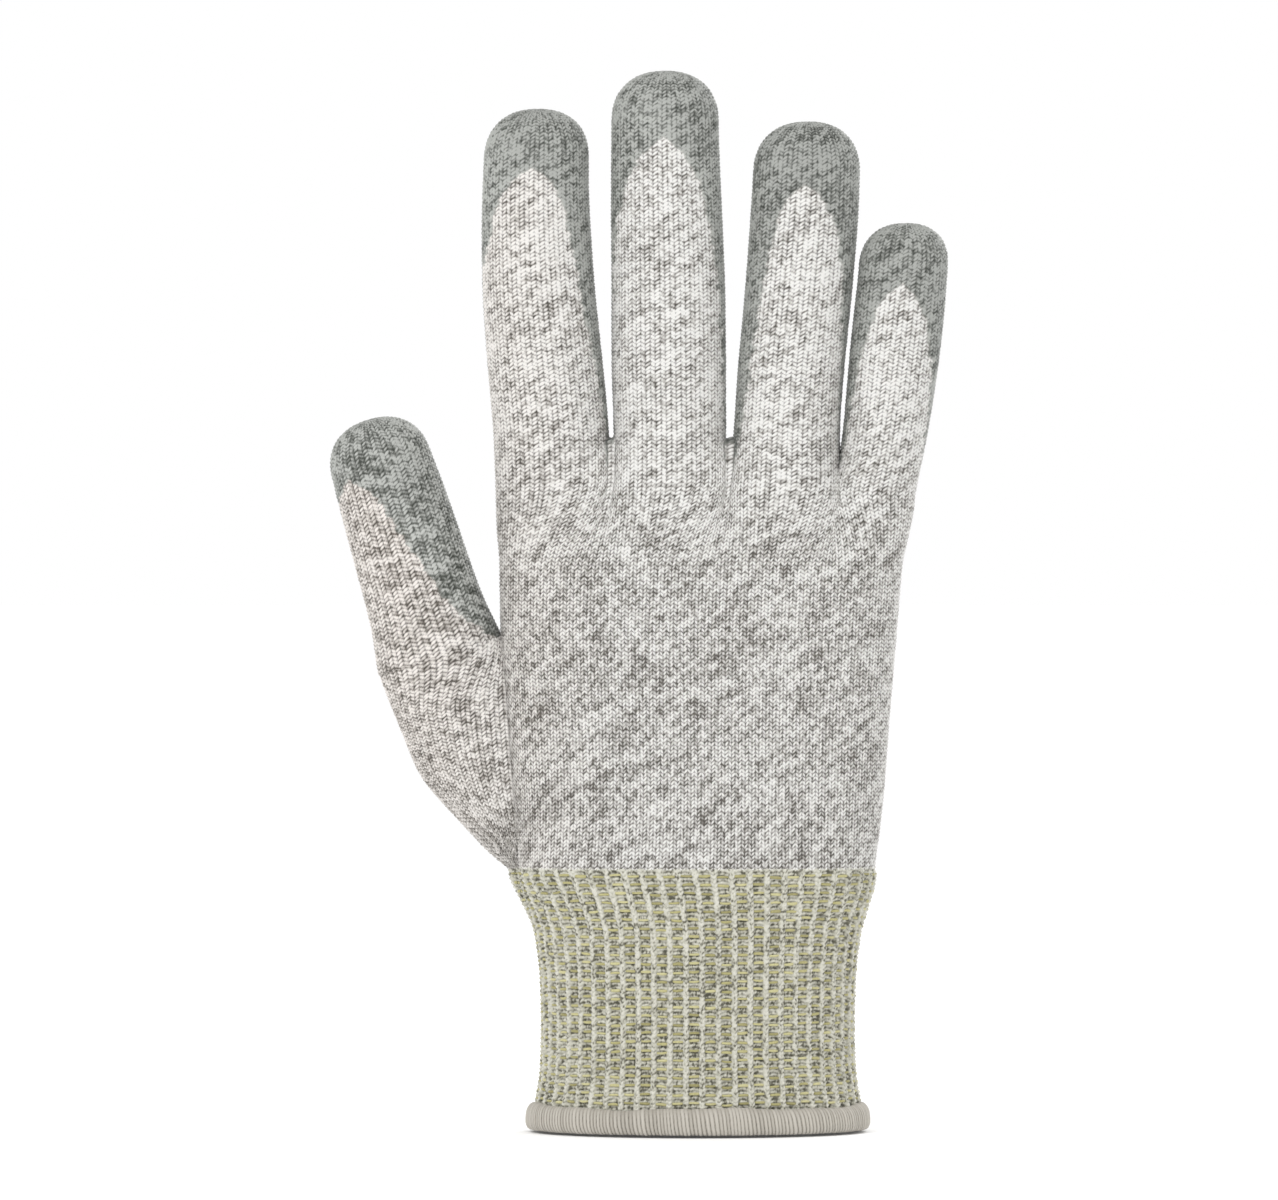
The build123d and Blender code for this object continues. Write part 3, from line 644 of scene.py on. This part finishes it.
# ---- materials -------------------------------------------------------------------
class Nodes:
    """A short way to write a material's nodes."""

    def __init__(self, name):
        self.material = bpy.data.materials.new(name)
        self.material.use_nodes = True
        self.tree = self.material.node_tree
        self.tree.nodes.clear()
        out = self.tree.nodes.new("ShaderNodeOutputMaterial")
        self.shader = self.tree.nodes.new("ShaderNodeBsdfPrincipled")
        self.tree.links.new(self.shader.outputs[0], out.inputs[0])

    def node(self, kind, **values):
        made = self.tree.nodes.new("ShaderNode" + kind)
        for key, value in values.items():
            if key in made.bl_rna.properties:
                setattr(made, key, value)
            else:
                made.inputs[key.replace("_", " ")].default_value = value
        return made

    def link(self, a, b):
        self.tree.links.new(a, b)

    def math(self, kind, a, b):
        made = self.node("Math", operation=kind)
        for slot, value in zip(made.inputs, (a, b)):
            if isinstance(value, (int, float)):
                slot.default_value = value
            else:
                self.link(value, slot)
        return made.outputs[0]

    def ramp(self, source, *stops):
        made = self.node("ValToRGB")
        ramp = made.color_ramp
        while len(ramp.elements) < len(stops):
            ramp.elements.new(0.5)
        for element, (at, colour) in zip(ramp.elements, stops):
            element.position = at
            element.color = (*colour, 1)
        self.link(source, made.inputs[0])
        return made.outputs[0]

    def mix(self, share, a, b, kind="MIX"):
        made = self.node("Mix", data_type="RGBA", blend_type=kind)
        for slot, value in ((made.inputs[0], share), (made.inputs[6], a), (made.inputs[7], b)):
            if isinstance(value, (int, float)):
                slot.default_value = value
            elif isinstance(value, tuple):
                slot.default_value = (*value, 1)
            else:
                self.link(value, slot)
        return made.outputs[2]

    def detail(self):
        """The relief, the yarn's shade and the coating at a point."""
        attribute = self.node("Attribute", attribute_name="Detail")
        split = self.node("SeparateColor")
        self.link(attribute.outputs["Color"], split.inputs[0])
        return (*split.outputs, attribute.outputs["Alpha"])

    def noise(self, scale, detail=3.0, stretch=(1, 1, 1)):
        place = self.node("TexCoord")
        mapping = self.node("Mapping", Scale=stretch)
        self.link(place.outputs["Object"], mapping.inputs[0])
        made = self.node("TexNoise", Scale=scale, Detail=detail, Roughness=0.6)
        self.link(mapping.outputs[0], made.inputs["Vector"])
        return made.outputs["Fac"]

    def bump(self, height, strength, distance):
        made = self.node("Bump", Strength=strength, Distance=distance)
        self.link(height, made.inputs["Height"])
        self.link(made.outputs[0], self.shader.inputs["Normal"])

    def total(self, *parts):
        """The sum of sources, each times its weight."""
        out, *rest = (self.math("MULTIPLY", *part) for part in parts)
        for term in rest:
            out = self.math("ADD", out, term)
        return out

    def times(self, colour, by):
        return self.mix(1.0, colour, by, "MULTIPLY")

    def between(self, axis, low, high):
        """0 to 1 from one place to another along an axis, in metres."""
        split = self.node("SeparateXYZ")
        self.link(self.node("TexCoord").outputs["Object"], split.inputs[0])
        made = self.node("MapRange", From_Min=low, From_Max=high, To_Min=0.0, To_Max=1.0)
        self.link(split.outputs[axis], made.inputs["Value"])
        return made.outputs[0]

    def set(self, **values):
        for key, value in values.items():
            self.shader.inputs[key.replace("_", " ")].default_value = value


def grey(level):
    return (level, level, level)


def yarn_material(name, dark, mid, light, hollow_shade=0.35, tint=None):
    """Heather yarn, with painted shade in the hollows between the stitches and painted light on their
    crests.
    """
    m = Nodes(name)
    relief, shade, _ = m.detail()[:3]
    fibre = m.noise(2600.0, 4.0)
    # Painted light: the relief term makes the stitches' crests lighter and their hollows darker.
    above = m.math("SUBTRACT", relief, 0.62)
    mixed = m.total((shade, 0.78), (fibre, 0.22), (above, 0.62))
    colour = m.ramp(mixed, (0.10, dark), (0.42, mid), (0.74, light))
    if tint:
        colour = m.mix(m.between(0, 0.02, 0.07), colour, m.times(colour, tint))
    # Painted shade: darker where the relief is low, in the hollows between the stitches.
    colour = m.times(colour, m.ramp(relief, (0.0, grey(hollow_shade)), (0.5, grey(1))))
    m.link(colour, m.shader.inputs["Base Color"])
    m.set(Roughness=0.92, Sheen_Weight=0.15, Sheen_Roughness=0.6, Specular_IOR_Level=0.2)
    m.bump(m.math("ADD", fibre, m.math("MULTIPLY", shade, 0.4)), 0.5, 0.00018)
    return m.material


def coating_material(name):
    """Matt grey coating: thick on the palm; thin on the back, where the knit's flecks show. Its crests
    carry painted light and its hollows painted shade.
    """
    m = Nodes(name)
    relief, shade, mask, thin = m.detail()
    grain = m.noise(1500.0, 4.0)
    cloud = m.noise(38.0, 3.0)
    # Painted light: the relief lightens the stitches' crests and darkens their hollows, on the thick and
    # the thin coating alike.
    thick_mix = m.total((relief, 0.58), (grain, 0.26), (shade, 0.11))
    thick = m.ramp(thick_mix, (0.30, (0.070, 0.076, 0.071)), (0.49, (0.150, 0.157, 0.149)),
                   (0.70, (0.345, 0.355, 0.338)))
    above = m.math("SUBTRACT", relief, 0.60)
    thin_mix = m.total((shade, 0.80), (grain, 0.25), (above, 0.60))
    sheer = m.ramp(thin_mix, (0.16, (0.055, 0.061, 0.050)), (0.48, (0.205, 0.212, 0.195)),
                   (0.78, (0.450, 0.458, 0.434)))
    colour = m.mix(thin, thick, sheer)
    colour = m.times(colour, m.ramp(cloud, (0.3, grey(0.90)), (0.7, grey(1.08))))
    fingers = m.between(2, 0.135, 0.185)
    colour = m.mix(fingers, colour, m.times(colour, (0.83, 0.835, 0.83)))
    # Painted shade: darker where the relief is low, in the hollows between the stitches.
    colour = m.times(colour, m.ramp(relief, (0.0, grey(0.50)), (0.45, grey(1))))
    bleed = m.ramp(mask, (0.45, grey(1)), (0.98, grey(0)))
    yarn = m.ramp(shade, (0.25, (0.20, 0.20, 0.18)), (0.75, (0.50, 0.49, 0.46)))
    colour = m.mix(bleed, colour, yarn)
    m.link(colour, m.shader.inputs["Base Color"])
    rough = m.ramp(grain, (0.3, grey(0.44)), (0.7, grey(0.66)))
    m.link(rough, m.shader.inputs["Roughness"])
    m.set(Specular_IOR_Level=0.42, Sheen_Weight=0.22, Sheen_Roughness=0.4)
    m.bump(m.math("ADD", grain, m.math("MULTIPLY", relief, 0.6)), 0.45, 0.00012)
    return m.material


def elastic_material(name):
    m = Nodes(name)
    _, shade, _ = m.detail()[:3]
    fibre = m.noise(3000.0, 3.0)
    colour = m.ramp(m.total((shade, 0.5), (fibre, 0.5)),
                    (0.2, (0.26, 0.24, 0.105)), (0.5, (0.42, 0.39, 0.185)), (0.8, (0.56, 0.53, 0.30)))
    m.link(colour, m.shader.inputs["Base Color"])
    m.set(Roughness=0.75, Sheen_Weight=0.2, Specular_IOR_Level=0.3)
    m.bump(fibre, 0.4, 0.00015)
    return m.material


# ---- cuff ------------------------------------------------------------------------
RIBS = 52
RIB_HIGH = 0.62
RIB_COURSE = 1.02
FLOAT_PITCH = 2 * RIB_COURSE
FLOAT_OUT, FLOAT_BOW, FLOAT_THICK = 0.22, 0.42, 0.33   # off the wall, its bow, and its radius
HEM_WRAPS = 232
HEM_OUT, HEM_Z = 0.80, 3.35          # the roll's middle, off the wall and up
HEM_HALF = (1.65, 2.95)              # its half sizes
RIB_LEG_RISE = 0.70      # rows that a leg of the rib climbs
RIB_SHIFT = 0.13         # rows that each rib stands above the last
RAISED = 0.46            # share of one rib that stands up
CUFF_WALL = 0.9          # to the inner face that closes the cuff
CUFF_TURN = (46.0, 1.6)  # the oval turns into the hand's outline from this height, by this power
APRON_RADIUS, APRON_Z = 43.0, 71.0    # the round edge of the coating over the rib
APRON_WIDER = 0.95       # across, the edge is this much of round
GIRTH_STEPS = 2080
cuff_shape = smooth_table(CUFF, reach=3.0)


def hand_ring(turn):
    """The hand's outline where it meets the cuff, from the thumb's side over the back."""
    left, seam = float(hand_shape(CUFF_TOP)[0]), float(seam_x(CUFF_TOP))
    run = np.linspace(0, 10.0, 201)
    inside = hand_height(seam + run, np.full_like(run, CUFF_TOP)) > 0.02
    right = seam + (run[inside][-1] if inside.any() else 0.0)
    x = (left + right) / 2 + (right - left) / 2 * np.cos(turn)
    height = hand_height(x, np.full_like(x, CUFF_TOP))
    y = np.where(turn < math.pi, height, -height)
    return x, np.where(np.abs(np.sin(turn)) < 1e-9, 0.0, y)


def even_halves(x, y):
    """An outline at even steps of its length, over the back and then over the palm."""
    middle = len(x) // 2
    halves = []
    for part in (slice(0, middle + 1), slice(middle, None)):
        run = run_along(x[part], y[part])
        even = np.linspace(0, run[-1], GIRTH_STEPS // 2 + 1)
        halves.append(np.stack([np.interp(even, run, v[part]) for v in (x, y)], -1))
    return np.concatenate([halves[0], halves[1][1:]])


def make_cuff_table():
    """Points of the cuff's wall and their outward directions: an oval turning into the hand."""
    levels = np.arange(0.0, CUFF_TOP + 2.0, 1.0)
    turn = np.linspace(0, 2 * np.pi, 8001)
    top = even_halves(*hand_ring(turn))
    points = np.empty((len(levels), GIRTH_STEPS + 1, 2))
    low, power = CUFF_TURN
    for i, z in enumerate(levels):
        width, depth = (float(v) for v in cuff_shape(z))
        turned = float(np.clip((z - low) / (CUFF_TOP - low), 0, 1)) ** power
        points[i] = (1 - turned) * even_halves(width * np.cos(turn), depth * np.sin(turn)) + turned * top
        points[i, -1] = points[i, 0]
    ahead = np.roll(points[:, :-1], -1, axis=1) - np.roll(points[:, :-1], 1, axis=1)
    out = np.stack([ahead[..., 1], -ahead[..., 0]], -1)
    out /= np.linalg.norm(out, axis=-1, keepdims=True)
    return np.concatenate([points, np.concatenate([out, out[:, :1]], 1)], -1)


cuff_table = make_cuff_table()


def cuff_point(girth, z, out):
    """A point at a share of the girth, from +X over the back, and a distance off the wall."""
    girth, z = np.broadcast_arrays(np.mod(girth, 1.0), z)
    a = girth * GIRTH_STEPS
    b = np.clip(z, 0, len(cuff_table) - 1.001)
    i, j = a.astype(int), b.astype(int)
    fa, fb = (a - i)[..., None], (b - j)[..., None]
    at = cuff_table[j, i] * (1 - fa) * (1 - fb) + cuff_table[j, i + 1] * fa * (1 - fb) \
        + cuff_table[j + 1, i] * (1 - fa) * fb + cuff_table[j + 1, i + 1] * fa * fb
    flat = at[..., :2] + at[..., 2:] * np.asarray(out)[..., None]
    return np.concatenate([flat, np.asarray(z)[..., None]], -1)


def rib_profile(f):
    """1 on a rib's crest, 0 in a recess, over the share f of one rib."""
    return smoothstep(f / 0.11) * (1 - smoothstep((f - RAISED + 0.11) / 0.11))


def rib_relief(q, z):
    """Height off the wall and a 0 to 1 relief for the rib knit."""
    f = q - np.floor(q)
    up = rib_profile(f)
    u = np.clip(f / RAISED, 0, 1)
    legs, chevron = stitch_form(u, z / RIB_COURSE + RIB_SHIFT * np.floor(q), -RIB_LEG_RISE)
    across = np.clip((f - RAISED) / (1 - RAISED), 0, 1)
    ladder = 0.5 + 0.5 * np.cos(2 * np.pi * (z / RIB_COURSE + 0.25 * np.abs(2 * across - 1)))
    loose = lattice_noise(q * 5.0, z / RIB_COURSE * 1.3, seed=7) - 0.5
    fade = 1 - 0.75 * smoothstep((z - CUFF_TOP + 2.5) / 2.5)
    knit = up * 0.44 * chevron * (0.5 + 0.5 * legs) + (1 - up) * 0.28 * ladder
    high = RIB_HIGH * up * fade + knit + 0.14 * loose
    # This relief also paints the rib's colour: painted shade in the recesses and between the stitches,
    # lighter on the crests.
    relief = up * (0.38 + 0.26 * chevron + 0.20 * chevron * legs) \
        + (1 - up) * (0.20 + 0.40 * ladder) + 0.30 * loose
    return high, np.clip(relief, 0, 1), up, up * chevron + (1 - up) * ladder


def apron_mask(points):
    """1 where the coating reaches down over the rib: inside a round edge on the palm side."""
    edge = APRON_RADIUS - np.hypot(APRON_WIDER * points[..., 0], points[..., 2] - APRON_Z)
    wobble = 0.9 * (lattice_noise(points[..., 0] * 0.5 + 90, points[..., 2] * 0.5, seed=8) - 0.5)
    round_side = smoothstep((-points[..., 1] - 0.55 * np.maximum(CUFF_TOP - points[..., 2], 0.0)) / 2.0)
    return smoothstep((edge + wobble) / 1.3 + 0.5) * round_side


def loft_grid(name, points, uv, detail, flip=False):
    """One grid as a piece."""
    rows, columns = points.shape[:2]
    quads = grid_quads(rows, columns).reshape(-1, 4)
    if flip:
        quads = quads[:, ::-1]
    flat = points.reshape(-1, 3)
    first, of = same_points(flat, 4)
    welded = of[quads]
    normals = normals_of(flat[first], welded)
    place = np.stack(np.meshgrid(np.arange(rows), np.arange(columns), indexing="ij")[::-1],
                     -1).astype(float)
    return mesh_object(name, flat[first], welded, uv.reshape(-1, 2)[quads], detail.reshape(-1, 4)[first],
                       normals,
                       place.reshape(-1, 2)[quads])


def build_cuff(materials):
    per_rib = 16
    count = RIBS * per_rib
    z = rows_between([HEM_TOP - 1.5, CUFF_TOP + 0.4], 0.25)
    zz, qq = np.meshgrid(z, np.arange(count + 1) / per_rib, indexing="ij")
    girth = qq / RIBS
    high, relief, up, stitch = rib_relief(qq, zz)
    mask = apron_mask(cuff_point(girth, zz, 0.0))
    shade = np.clip(0.5 + 1.35 * (heather(qq * 3.2, zz / COURSE, streaks=0.12) - 0.53), 0, 1)
    for v in (high, relief, shade):
        v[:, -1] = v[:, 0]
    one = np.ones_like(mask)
    uv = np.stack([qq * 2, zz / RIB_COURSE], -1)
    half = count // 2
    wall = cuff_point(girth, zz, high * (1 - 0.35 * mask) - 0.25 * mask)
    detail = np.stack([relief, shade, mask, one], -1)
    pieces = []
    for side, cut in (("back", slice(0, half + 1)), ("palm", slice(half, count + 1))):
        pieces.append(loft_grid("rib_cuff_" + side, wall[:, cut], uv[:, cut], detail[:, cut]))
    inner = cuff_point(girth[::3, ::4], zz[::3, ::4], -CUFF_WALL)
    detail = np.stack([0.6 * one, shade, 0 * one, one], -1)[::3, ::4]
    pieces.append(loft_grid("cuff_inside", inner, uv[::3, ::4], detail, flip=True))
    for obj in pieces:
        dress(obj, materials["rib"], "rib_knit", "rib_cuff")
        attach(obj, "cuff")

    palm = slice(half, count + 1)
    ribbed = 1 - 0.85 * smoothstep((zz - CUFF_TOP + 4.5) / 4.5)
    crest = RAISED + (up - RAISED) * ribbed
    fine = knit_relief(qq * 2.4, zz / COURSE)
    knots = ribbed * relief + (1 - ribbed) * fine
    skin = ribbed * (0.40 + 0.55 * crest + 0.24 * knots) \
        + (1 - ribbed) * (COAT_OVER + PALM_COAT_RELIEF * (fine - 0.4))
    covered = -0.35 + mask * (skin + 0.35)
    # coat_relief also paints the apron's colour: painted shade in the rib's recesses, lighter on its
    # crests.
    coat_relief = 0.17 + ribbed * (0.20 * up + 0.44 * stitch) + (1 - ribbed) * (0.08 + 0.66 * fine)
    detail = np.stack([coat_relief, shade, mask, 0.40 * ribbed], -1)
    obj = loft_grid("cuff_coating_skin", cuff_point(girth, zz, covered)[:, palm], uv[:, palm],
                    detail[:, palm])
    trim_bare(obj)
    dress(obj, materials["coat"], "palm_coating", "cuff_coating")
    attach(obj, "cuff")
    build_floats(materials)
    build_hem(materials)


def trim_bare(obj):
    """Takes away the faces of a coating where it has sunk out of sight."""
    mesh = obj.data
    colour = np.empty(len(mesh.vertices) * 4, np.float32)
    mesh.attributes["Detail"].data.foreach_get("color", colour)
    bare = colour.reshape(-1, 4)[:, 2] < BARE_BELOW
    bm = bmesh.new()
    bm.from_mesh(mesh)
    bm.verts.ensure_lookup_table()
    gone = [v for v, b in zip(bm.verts, bare) if b]
    bmesh.ops.delete(bm, geom=gone, context="VERTS")
    bm.to_mesh(mesh)
    bm.free()


def build_floats(materials):
    """The elastic yarn where it crosses each recess of the rib, as short bowed lengths."""
    levels = np.arange(HEM_TOP + 1.6, CUFF_TOP + 0.4, FLOAT_PITCH)
    k, level = np.meshgrid(np.arange(RIBS), levels, indexing="ij")
    k, level = k.ravel(), level.ravel()
    rng = np.random.default_rng(23)
    level = level + rng.normal(0, 0.09, len(level)) + 0.22 * np.sin(k * 1.7)
    open_yarn = apron_mask(cuff_point((k + 0.5 + RAISED / 2) / RIBS, level, 0.0)) < 0.5
    k, level = k[open_yarn], level[open_yarn]
    steps, sides = ((9, 8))
    vary = lambda by: rng.normal(0, by, (len(k), 1))
    along = np.linspace(0, 1, steps)
    bow = np.sin(np.pi * along)
    start = RAISED - 0.06 + vary(0.015)
    girth = (k[:, None] + start + (1.12 - RAISED) * along) / RIBS
    z = level[:, None] + vary(0.07) * bow + vary(0.10) * (along - 0.5)
    out = FLOAT_OUT + (FLOAT_BOW + vary(0.06)) * bow
    centre = cuff_point(girth, z, out)
    outward = cuff_point(girth, z, out + 1.0) - centre
    outward /= np.linalg.norm(outward, axis=-1, keepdims=True)
    up = np.array([0.0, 0.0, 1.0])
    thick = (FLOAT_THICK + rng.normal(0, 0.03, (len(k), 1, 1))) * (0.75 + 0.25 * bow)[None, :, None]
    turn = 2 * np.pi * np.arange(sides) / sides
    strand = 1 + 0.10 * np.cos(2 * turn[None, None, :] + 9.0 * along[None, :, None])
    upward = np.cos(turn)[None, None, :, None] * up
    away = np.sin(turn)[None, None, :, None] * outward[:, :, None, :]
    ring = centre[:, :, None, :] + (thick * strand)[..., None] * (upward + away)
    points = ring.reshape(-1, 3)
    n, i, j = np.meshgrid(np.arange(len(k)), np.arange(steps - 1), np.arange(sides), indexing="ij")
    base = (n * steps + i) * sides
    quads = np.stack([base + j, base + (j + 1) % sides, base + sides + (j + 1) % sides, base + sides + j],
                     -1)
    corner = np.array([[0, 0], [0, 1], [1, 1], [1, 0]])
    wide = math.ceil(math.sqrt(len(k) / 4.0))
    cell = np.stack([(n % wide) * steps, (n // wide) * (sides + 1)], -1)
    place = cell[..., None, :] + np.stack([i, j], -1)[..., None, :] + corner
    normals = normals_of(points, quads.reshape(-1, 4))
    shade = np.repeat(rng.random(len(k)), steps * sides)
    detail = np.stack([np.ones_like(shade), shade, 0 * shade, np.ones_like(shade)], -1)
    uv = np.stack([points[:, 0], points[:, 2]], -1)[quads.reshape(-1, 4)]
    obj = mesh_object("elastic_yarn_floats", points, quads.reshape(-1, 4), uv, detail, normals,
                      place.reshape(-1, 4, 2).astype(float))
    dress(obj, materials["elastic"], "elastic_yarn", "elastic_yarn")
    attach(obj, "cuff")


def build_hem(materials):
    """The overlocked edge: a wavy roll wrapped in close turns of thread."""
    count = HEM_WRAPS * 6
    around = np.arange(count + 1) / count
    a, w = np.meshgrid(np.linspace(0, 2 * np.pi, 33), around, indexing="ij")
    slip = 0.35 * (lattice_noise(w * 40.0, 0 * w, seed=11) - 0.5)
    wrap = w * HEM_WRAPS + 0.5 * np.sin(a) + slip * 3.0
    ridge = np.abs(np.sin(np.pi * wrap)) ** 0.8
    loose = lattice_noise(np.floor(wrap) * 1.0, 0 * wrap + 3.5, seed=9)
    wave = 0.45 * np.sin(2 * np.pi * 4 * w + 1) + 0.25 * np.sin(2 * np.pi * 11 * w)
    cos_a, sin_a = np.cos(a), np.sin(a)
    thick = HEM_HALF[0] * np.sign(cos_a) * np.abs(cos_a) ** 0.8
    tall = HEM_HALF[1] * np.sign(sin_a) * np.abs(sin_a) ** 0.8
    smooth_top = 1 - 0.65 * smoothstep((sin_a - 0.1) / 0.8)
    puff = 0.20 * ridge * smooth_top + 0.14 * (loose - 0.5)
    out = HEM_OUT + thick + puff * cos_a
    z = HEM_Z + tall + puff * sin_a + wave * 0.6 * (sin_a > -0.2)
    points = cuff_point(w, z, out)
    points[:, -1] = points[:, 0]
    points[-1] = points[0]
    # The relief channel paints light: painted shade in the grooves between the wraps, lighter on their
    # crests, plain over the roll's top.
    detail = np.stack([0.04 + 0.96 * ridge * smooth_top + 0.5 * (1 - smooth_top),
                       0.5 + 0.35 * (loose - 0.5), 0 * a,
                       np.ones_like(a)], -1)
    obj = loft_grid("overlock_hem_thread", points, np.stack([wrap, a], -1), np.clip(detail, 0, 1))
    dress(obj, materials["hem"], "hem_thread", "overlock_hem")
    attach(obj, "cuff")


def dress(obj, material, slot, *nodes):
    """Gives a piece its material and hides the CAD nodes that it stands for."""
    obj.data.materials.append(material)
    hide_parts(*nodes)


# ---- hand pieces -----------------------------------------------------------------
def thumb_point(t):
    x, z = thumb_line(t)[:2]
    return (float(x) * MM, 0.0, float(z) * MM)


def motion_of(zone):
    """A zone's body to ride, or the two bodies and the start and end of the fold between them."""
    level = lambda z: (0.0, 0.0, z * MM)
    if zone in ("wrist", "palm"):
        return ("cuff", "palm", level(CUFF_TOP), level(WRIST_TOP))
    if zone == "knuckle_fold":
        return ("palm", "finger_base", level(FOLD_LOW), level(FOLD_HIGH))
    if zone == "finger_base":
        return ("finger_base",)
    name, part = zone.split("_", 1)
    if name == "thumb":
        places = [thumb_point(t) for t in THUMB_BREAKS]
        bodies = ["palm", "thumb_proximal", "thumb_tip"]
    else:
        places = [level(z) for z in FINGERS[name]["breaks"]]
        bodies = ["finger_base", name + "_proximal", name + "_middle", name + "_tip"]
    folds = ["root_fold", "knuckle_fold", "end_knuckle_fold"]
    if part in folds:
        k = folds.index(part)
        return (*bodies[k:k + 2], *places[2 * k:2 * k + 2])
    return (bodies[{"proximal": 1, "middle": 2, "tip": -1}[part]],)


def node_of(zone, layer):
    """The CAD node that a zone's liner or coating stands for."""
    if zone + "_" + layer in NODES:
        return zone + "_" + layer
    return zone


def move(obj, zone):
    how = motion_of(zone)
    if len(how) == 1:
        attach(obj, how[0])
    else:
        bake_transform(obj)


NODES = {n for nodes in frame["record"]["behaviour"]["bodies"].values() for n in nodes}


def build_body(materials):
    surface = Surface()
    hand_rows = build_hand(surface)
    build_thumb(surface, hand_rows)
    build_fingers(surface)
    surface.weld()
    relief = surface.mean(knit_relief(surface.wale, surface.course))
    shade = surface.mean(heather(surface.wale, surface.course))
    shade += FINGER_PALER * rise(surface.base[:, 2], *PALE_RISE)
    mask = surface.mean(surface.mask)
    quads = surface.of[surface.quads]
    uv = np.stack([surface.wale, surface.course], -1)[surface.quads]
    place = surface.place[surface.quads]
    one = np.ones_like(mask)

    lift = STITCH_HIGH * relief * (1 - 0.85 * smoothstep((mask - 0.55) / 0.4))
    knit = surface.base + surface.normal * lift[:, None]
    knit_normal = normals_of(knit, quads)
    thin = smoothstep(surface.normal[:, 1] / 0.9 + 0.75)
    rough_skin = PALM_COAT_RELIEF + thin * (BACK_COAT_RELIEF - PALM_COAT_RELIEF)
    high = COAT_UNDER + mask * (COAT_OVER - COAT_UNDER) + mask * rough_skin * (relief - 0.4)
    skin = surface.base + surface.normal * high[:, None]
    skin_normal = normals_of(skin, quads)
    # The relief channels paint light as well: painted shade in the knit's hollows and lighter crests, in
    # the liner and the coating.
    liner_detail = np.stack([np.clip(relief, 0, 1), shade, mask, one], -1)
    coat_relief = np.clip(relief * (0.75 + 0.25 * thin) + 0.12 * (1 - thin), 0, 1)
    coat_detail = np.stack([coat_relief, shade, mask, thin], -1)
    face_mask = mask[quads]
    middle = surface.base[quads].mean(1)
    back_face, high_face = middle[:, 1] > 0, middle[:, 2] > PALM_SPLIT
    all_faces = np.ones(len(quads), bool)
    for zone in sorted(set(surface.keys)):
        mine = surface.keys == zone
        sides, levels = {"": all_faces}, {"": all_faces}
        if zone == "palm":
            sides = {"_back": back_face, "_palm": ~back_face}
            levels = {"_low": ~high_face, "_high": high_face}
        for level, at_level in levels.items():
            for side, on_side in sides.items():
                chosen = mine & at_level & on_side
                obj = mesh_object(zone + "_knit" + side + level, knit, quads[chosen], uv[chosen],
                                  liner_detail,
                                  knit_normal, place[chosen])
                dress(obj, materials["liner"], "liner_knit", node_of(zone, "liner"))
                move(obj, zone)
            chosen = mine & at_level & (face_mask.max(1) > BARE_BELOW)
            if chosen.any():
                obj = mesh_object(zone + "_coat" + level, skin, quads[chosen], uv[chosen], coat_detail,
                                  skin_normal,
                                  place[chosen])
                dress(obj, materials["coat"], "palm_coating", node_of(zone, "coating"))
                move(obj, zone)


# ---- room, light and camera ------------------------------------------------------
LAMP_AIM = (0.01, 0.0, 0.125)
# name, place, diameter and power: the same pair of lamps for the back and for the palm
LAMPS = [("key_back", (0.60, 1.0, 0.85), 0.6, 5.5), ("fill_back", (-0.9, 0.8, 0.35), 0.9, 0.8),
         ("key_palm", (-0.60, -1.0, 0.85), 0.6, 5.5), ("fill_palm", (0.9, -0.8, 0.35), 0.9, 0.8)]
FLOOR_SIZE, FLOOR_Z = 400.0, -0.0004
CAMERA_Y, LENS, SENSOR = 2.10, 250.0, 36.0


def put_in_room(name, data, place, aim):
    """A lamp or a camera at a place, turned to what it aims at."""
    obj = bpy.data.objects.new(name, data)
    obj.location = place
    obj.rotation_euler = (Vector(aim) - Vector(place)).to_track_quat("-Z", "Y").to_euler()
    bpy.context.scene.collection.objects.link(obj)
    return obj


def build_room():
    scene = bpy.context.scene
    scene.view_settings.view_transform = "Standard"
    world = bpy.data.worlds.new("studio")
    world.use_nodes = True
    sky = world.node_tree.nodes["Background"]
    sky.inputs["Color"].default_value = (1, 1, 1, 1)
    sky.inputs["Strength"].default_value = 1.0
    scene.world = world

    bpy.ops.mesh.primitive_plane_add(size=FLOOR_SIZE, location=(0, 0, FLOOR_Z))
    floor = bpy.context.object
    floor.name = "floor"
    m = Nodes("pale_floor")
    m.set(Base_Color=(0.97, 0.97, 0.97, 1), Roughness=1.0, Specular_IOR_Level=0.0, Emission_Strength=0.05,
          Emission_Color=(1, 1, 1, 1))
    floor.data.materials.append(m.material)
    floor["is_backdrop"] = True

    for name, place, size, power in LAMPS:
        light = bpy.data.lights.new(name, "AREA")
        light.shape = "DISK"
        light.size = size
        light.energy = power
        put_in_room(name, light, place, LAMP_AIM)

    low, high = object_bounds()
    centre = (low + high) / 2
    camera = bpy.data.cameras.new("camera")
    camera.lens = LENS
    camera.sensor_width = SENSOR
    scene.camera = put_in_room("camera", camera, (centre.x, CAMERA_Y, centre.z),
                               (centre.x, 0, centre.z))


def main():
    materials = {
        "liner": yarn_material("heather_knit", (0.147, 0.136, 0.12), (0.46, 0.446, 0.423),
                               (0.74, 0.73, 0.71),
                               tint=(1.0, 0.955, 0.93)),
        "rib": yarn_material("rib_knit", (0.15, 0.145, 0.11), (0.50, 0.49, 0.415), (0.63, 0.62, 0.55),
                             hollow_shade=0.42),
        "coat": coating_material("grey_coating"),
        "elastic": elastic_material("elastic_yarn"),
        "hem": yarn_material("hem_thread", (0.18, 0.165, 0.14), (0.34, 0.315, 0.272), (0.50, 0.47, 0.42),
                             hollow_shade=0.22),
    }
    build_body(materials)
    build_cuff(materials)
    build_room()


main()
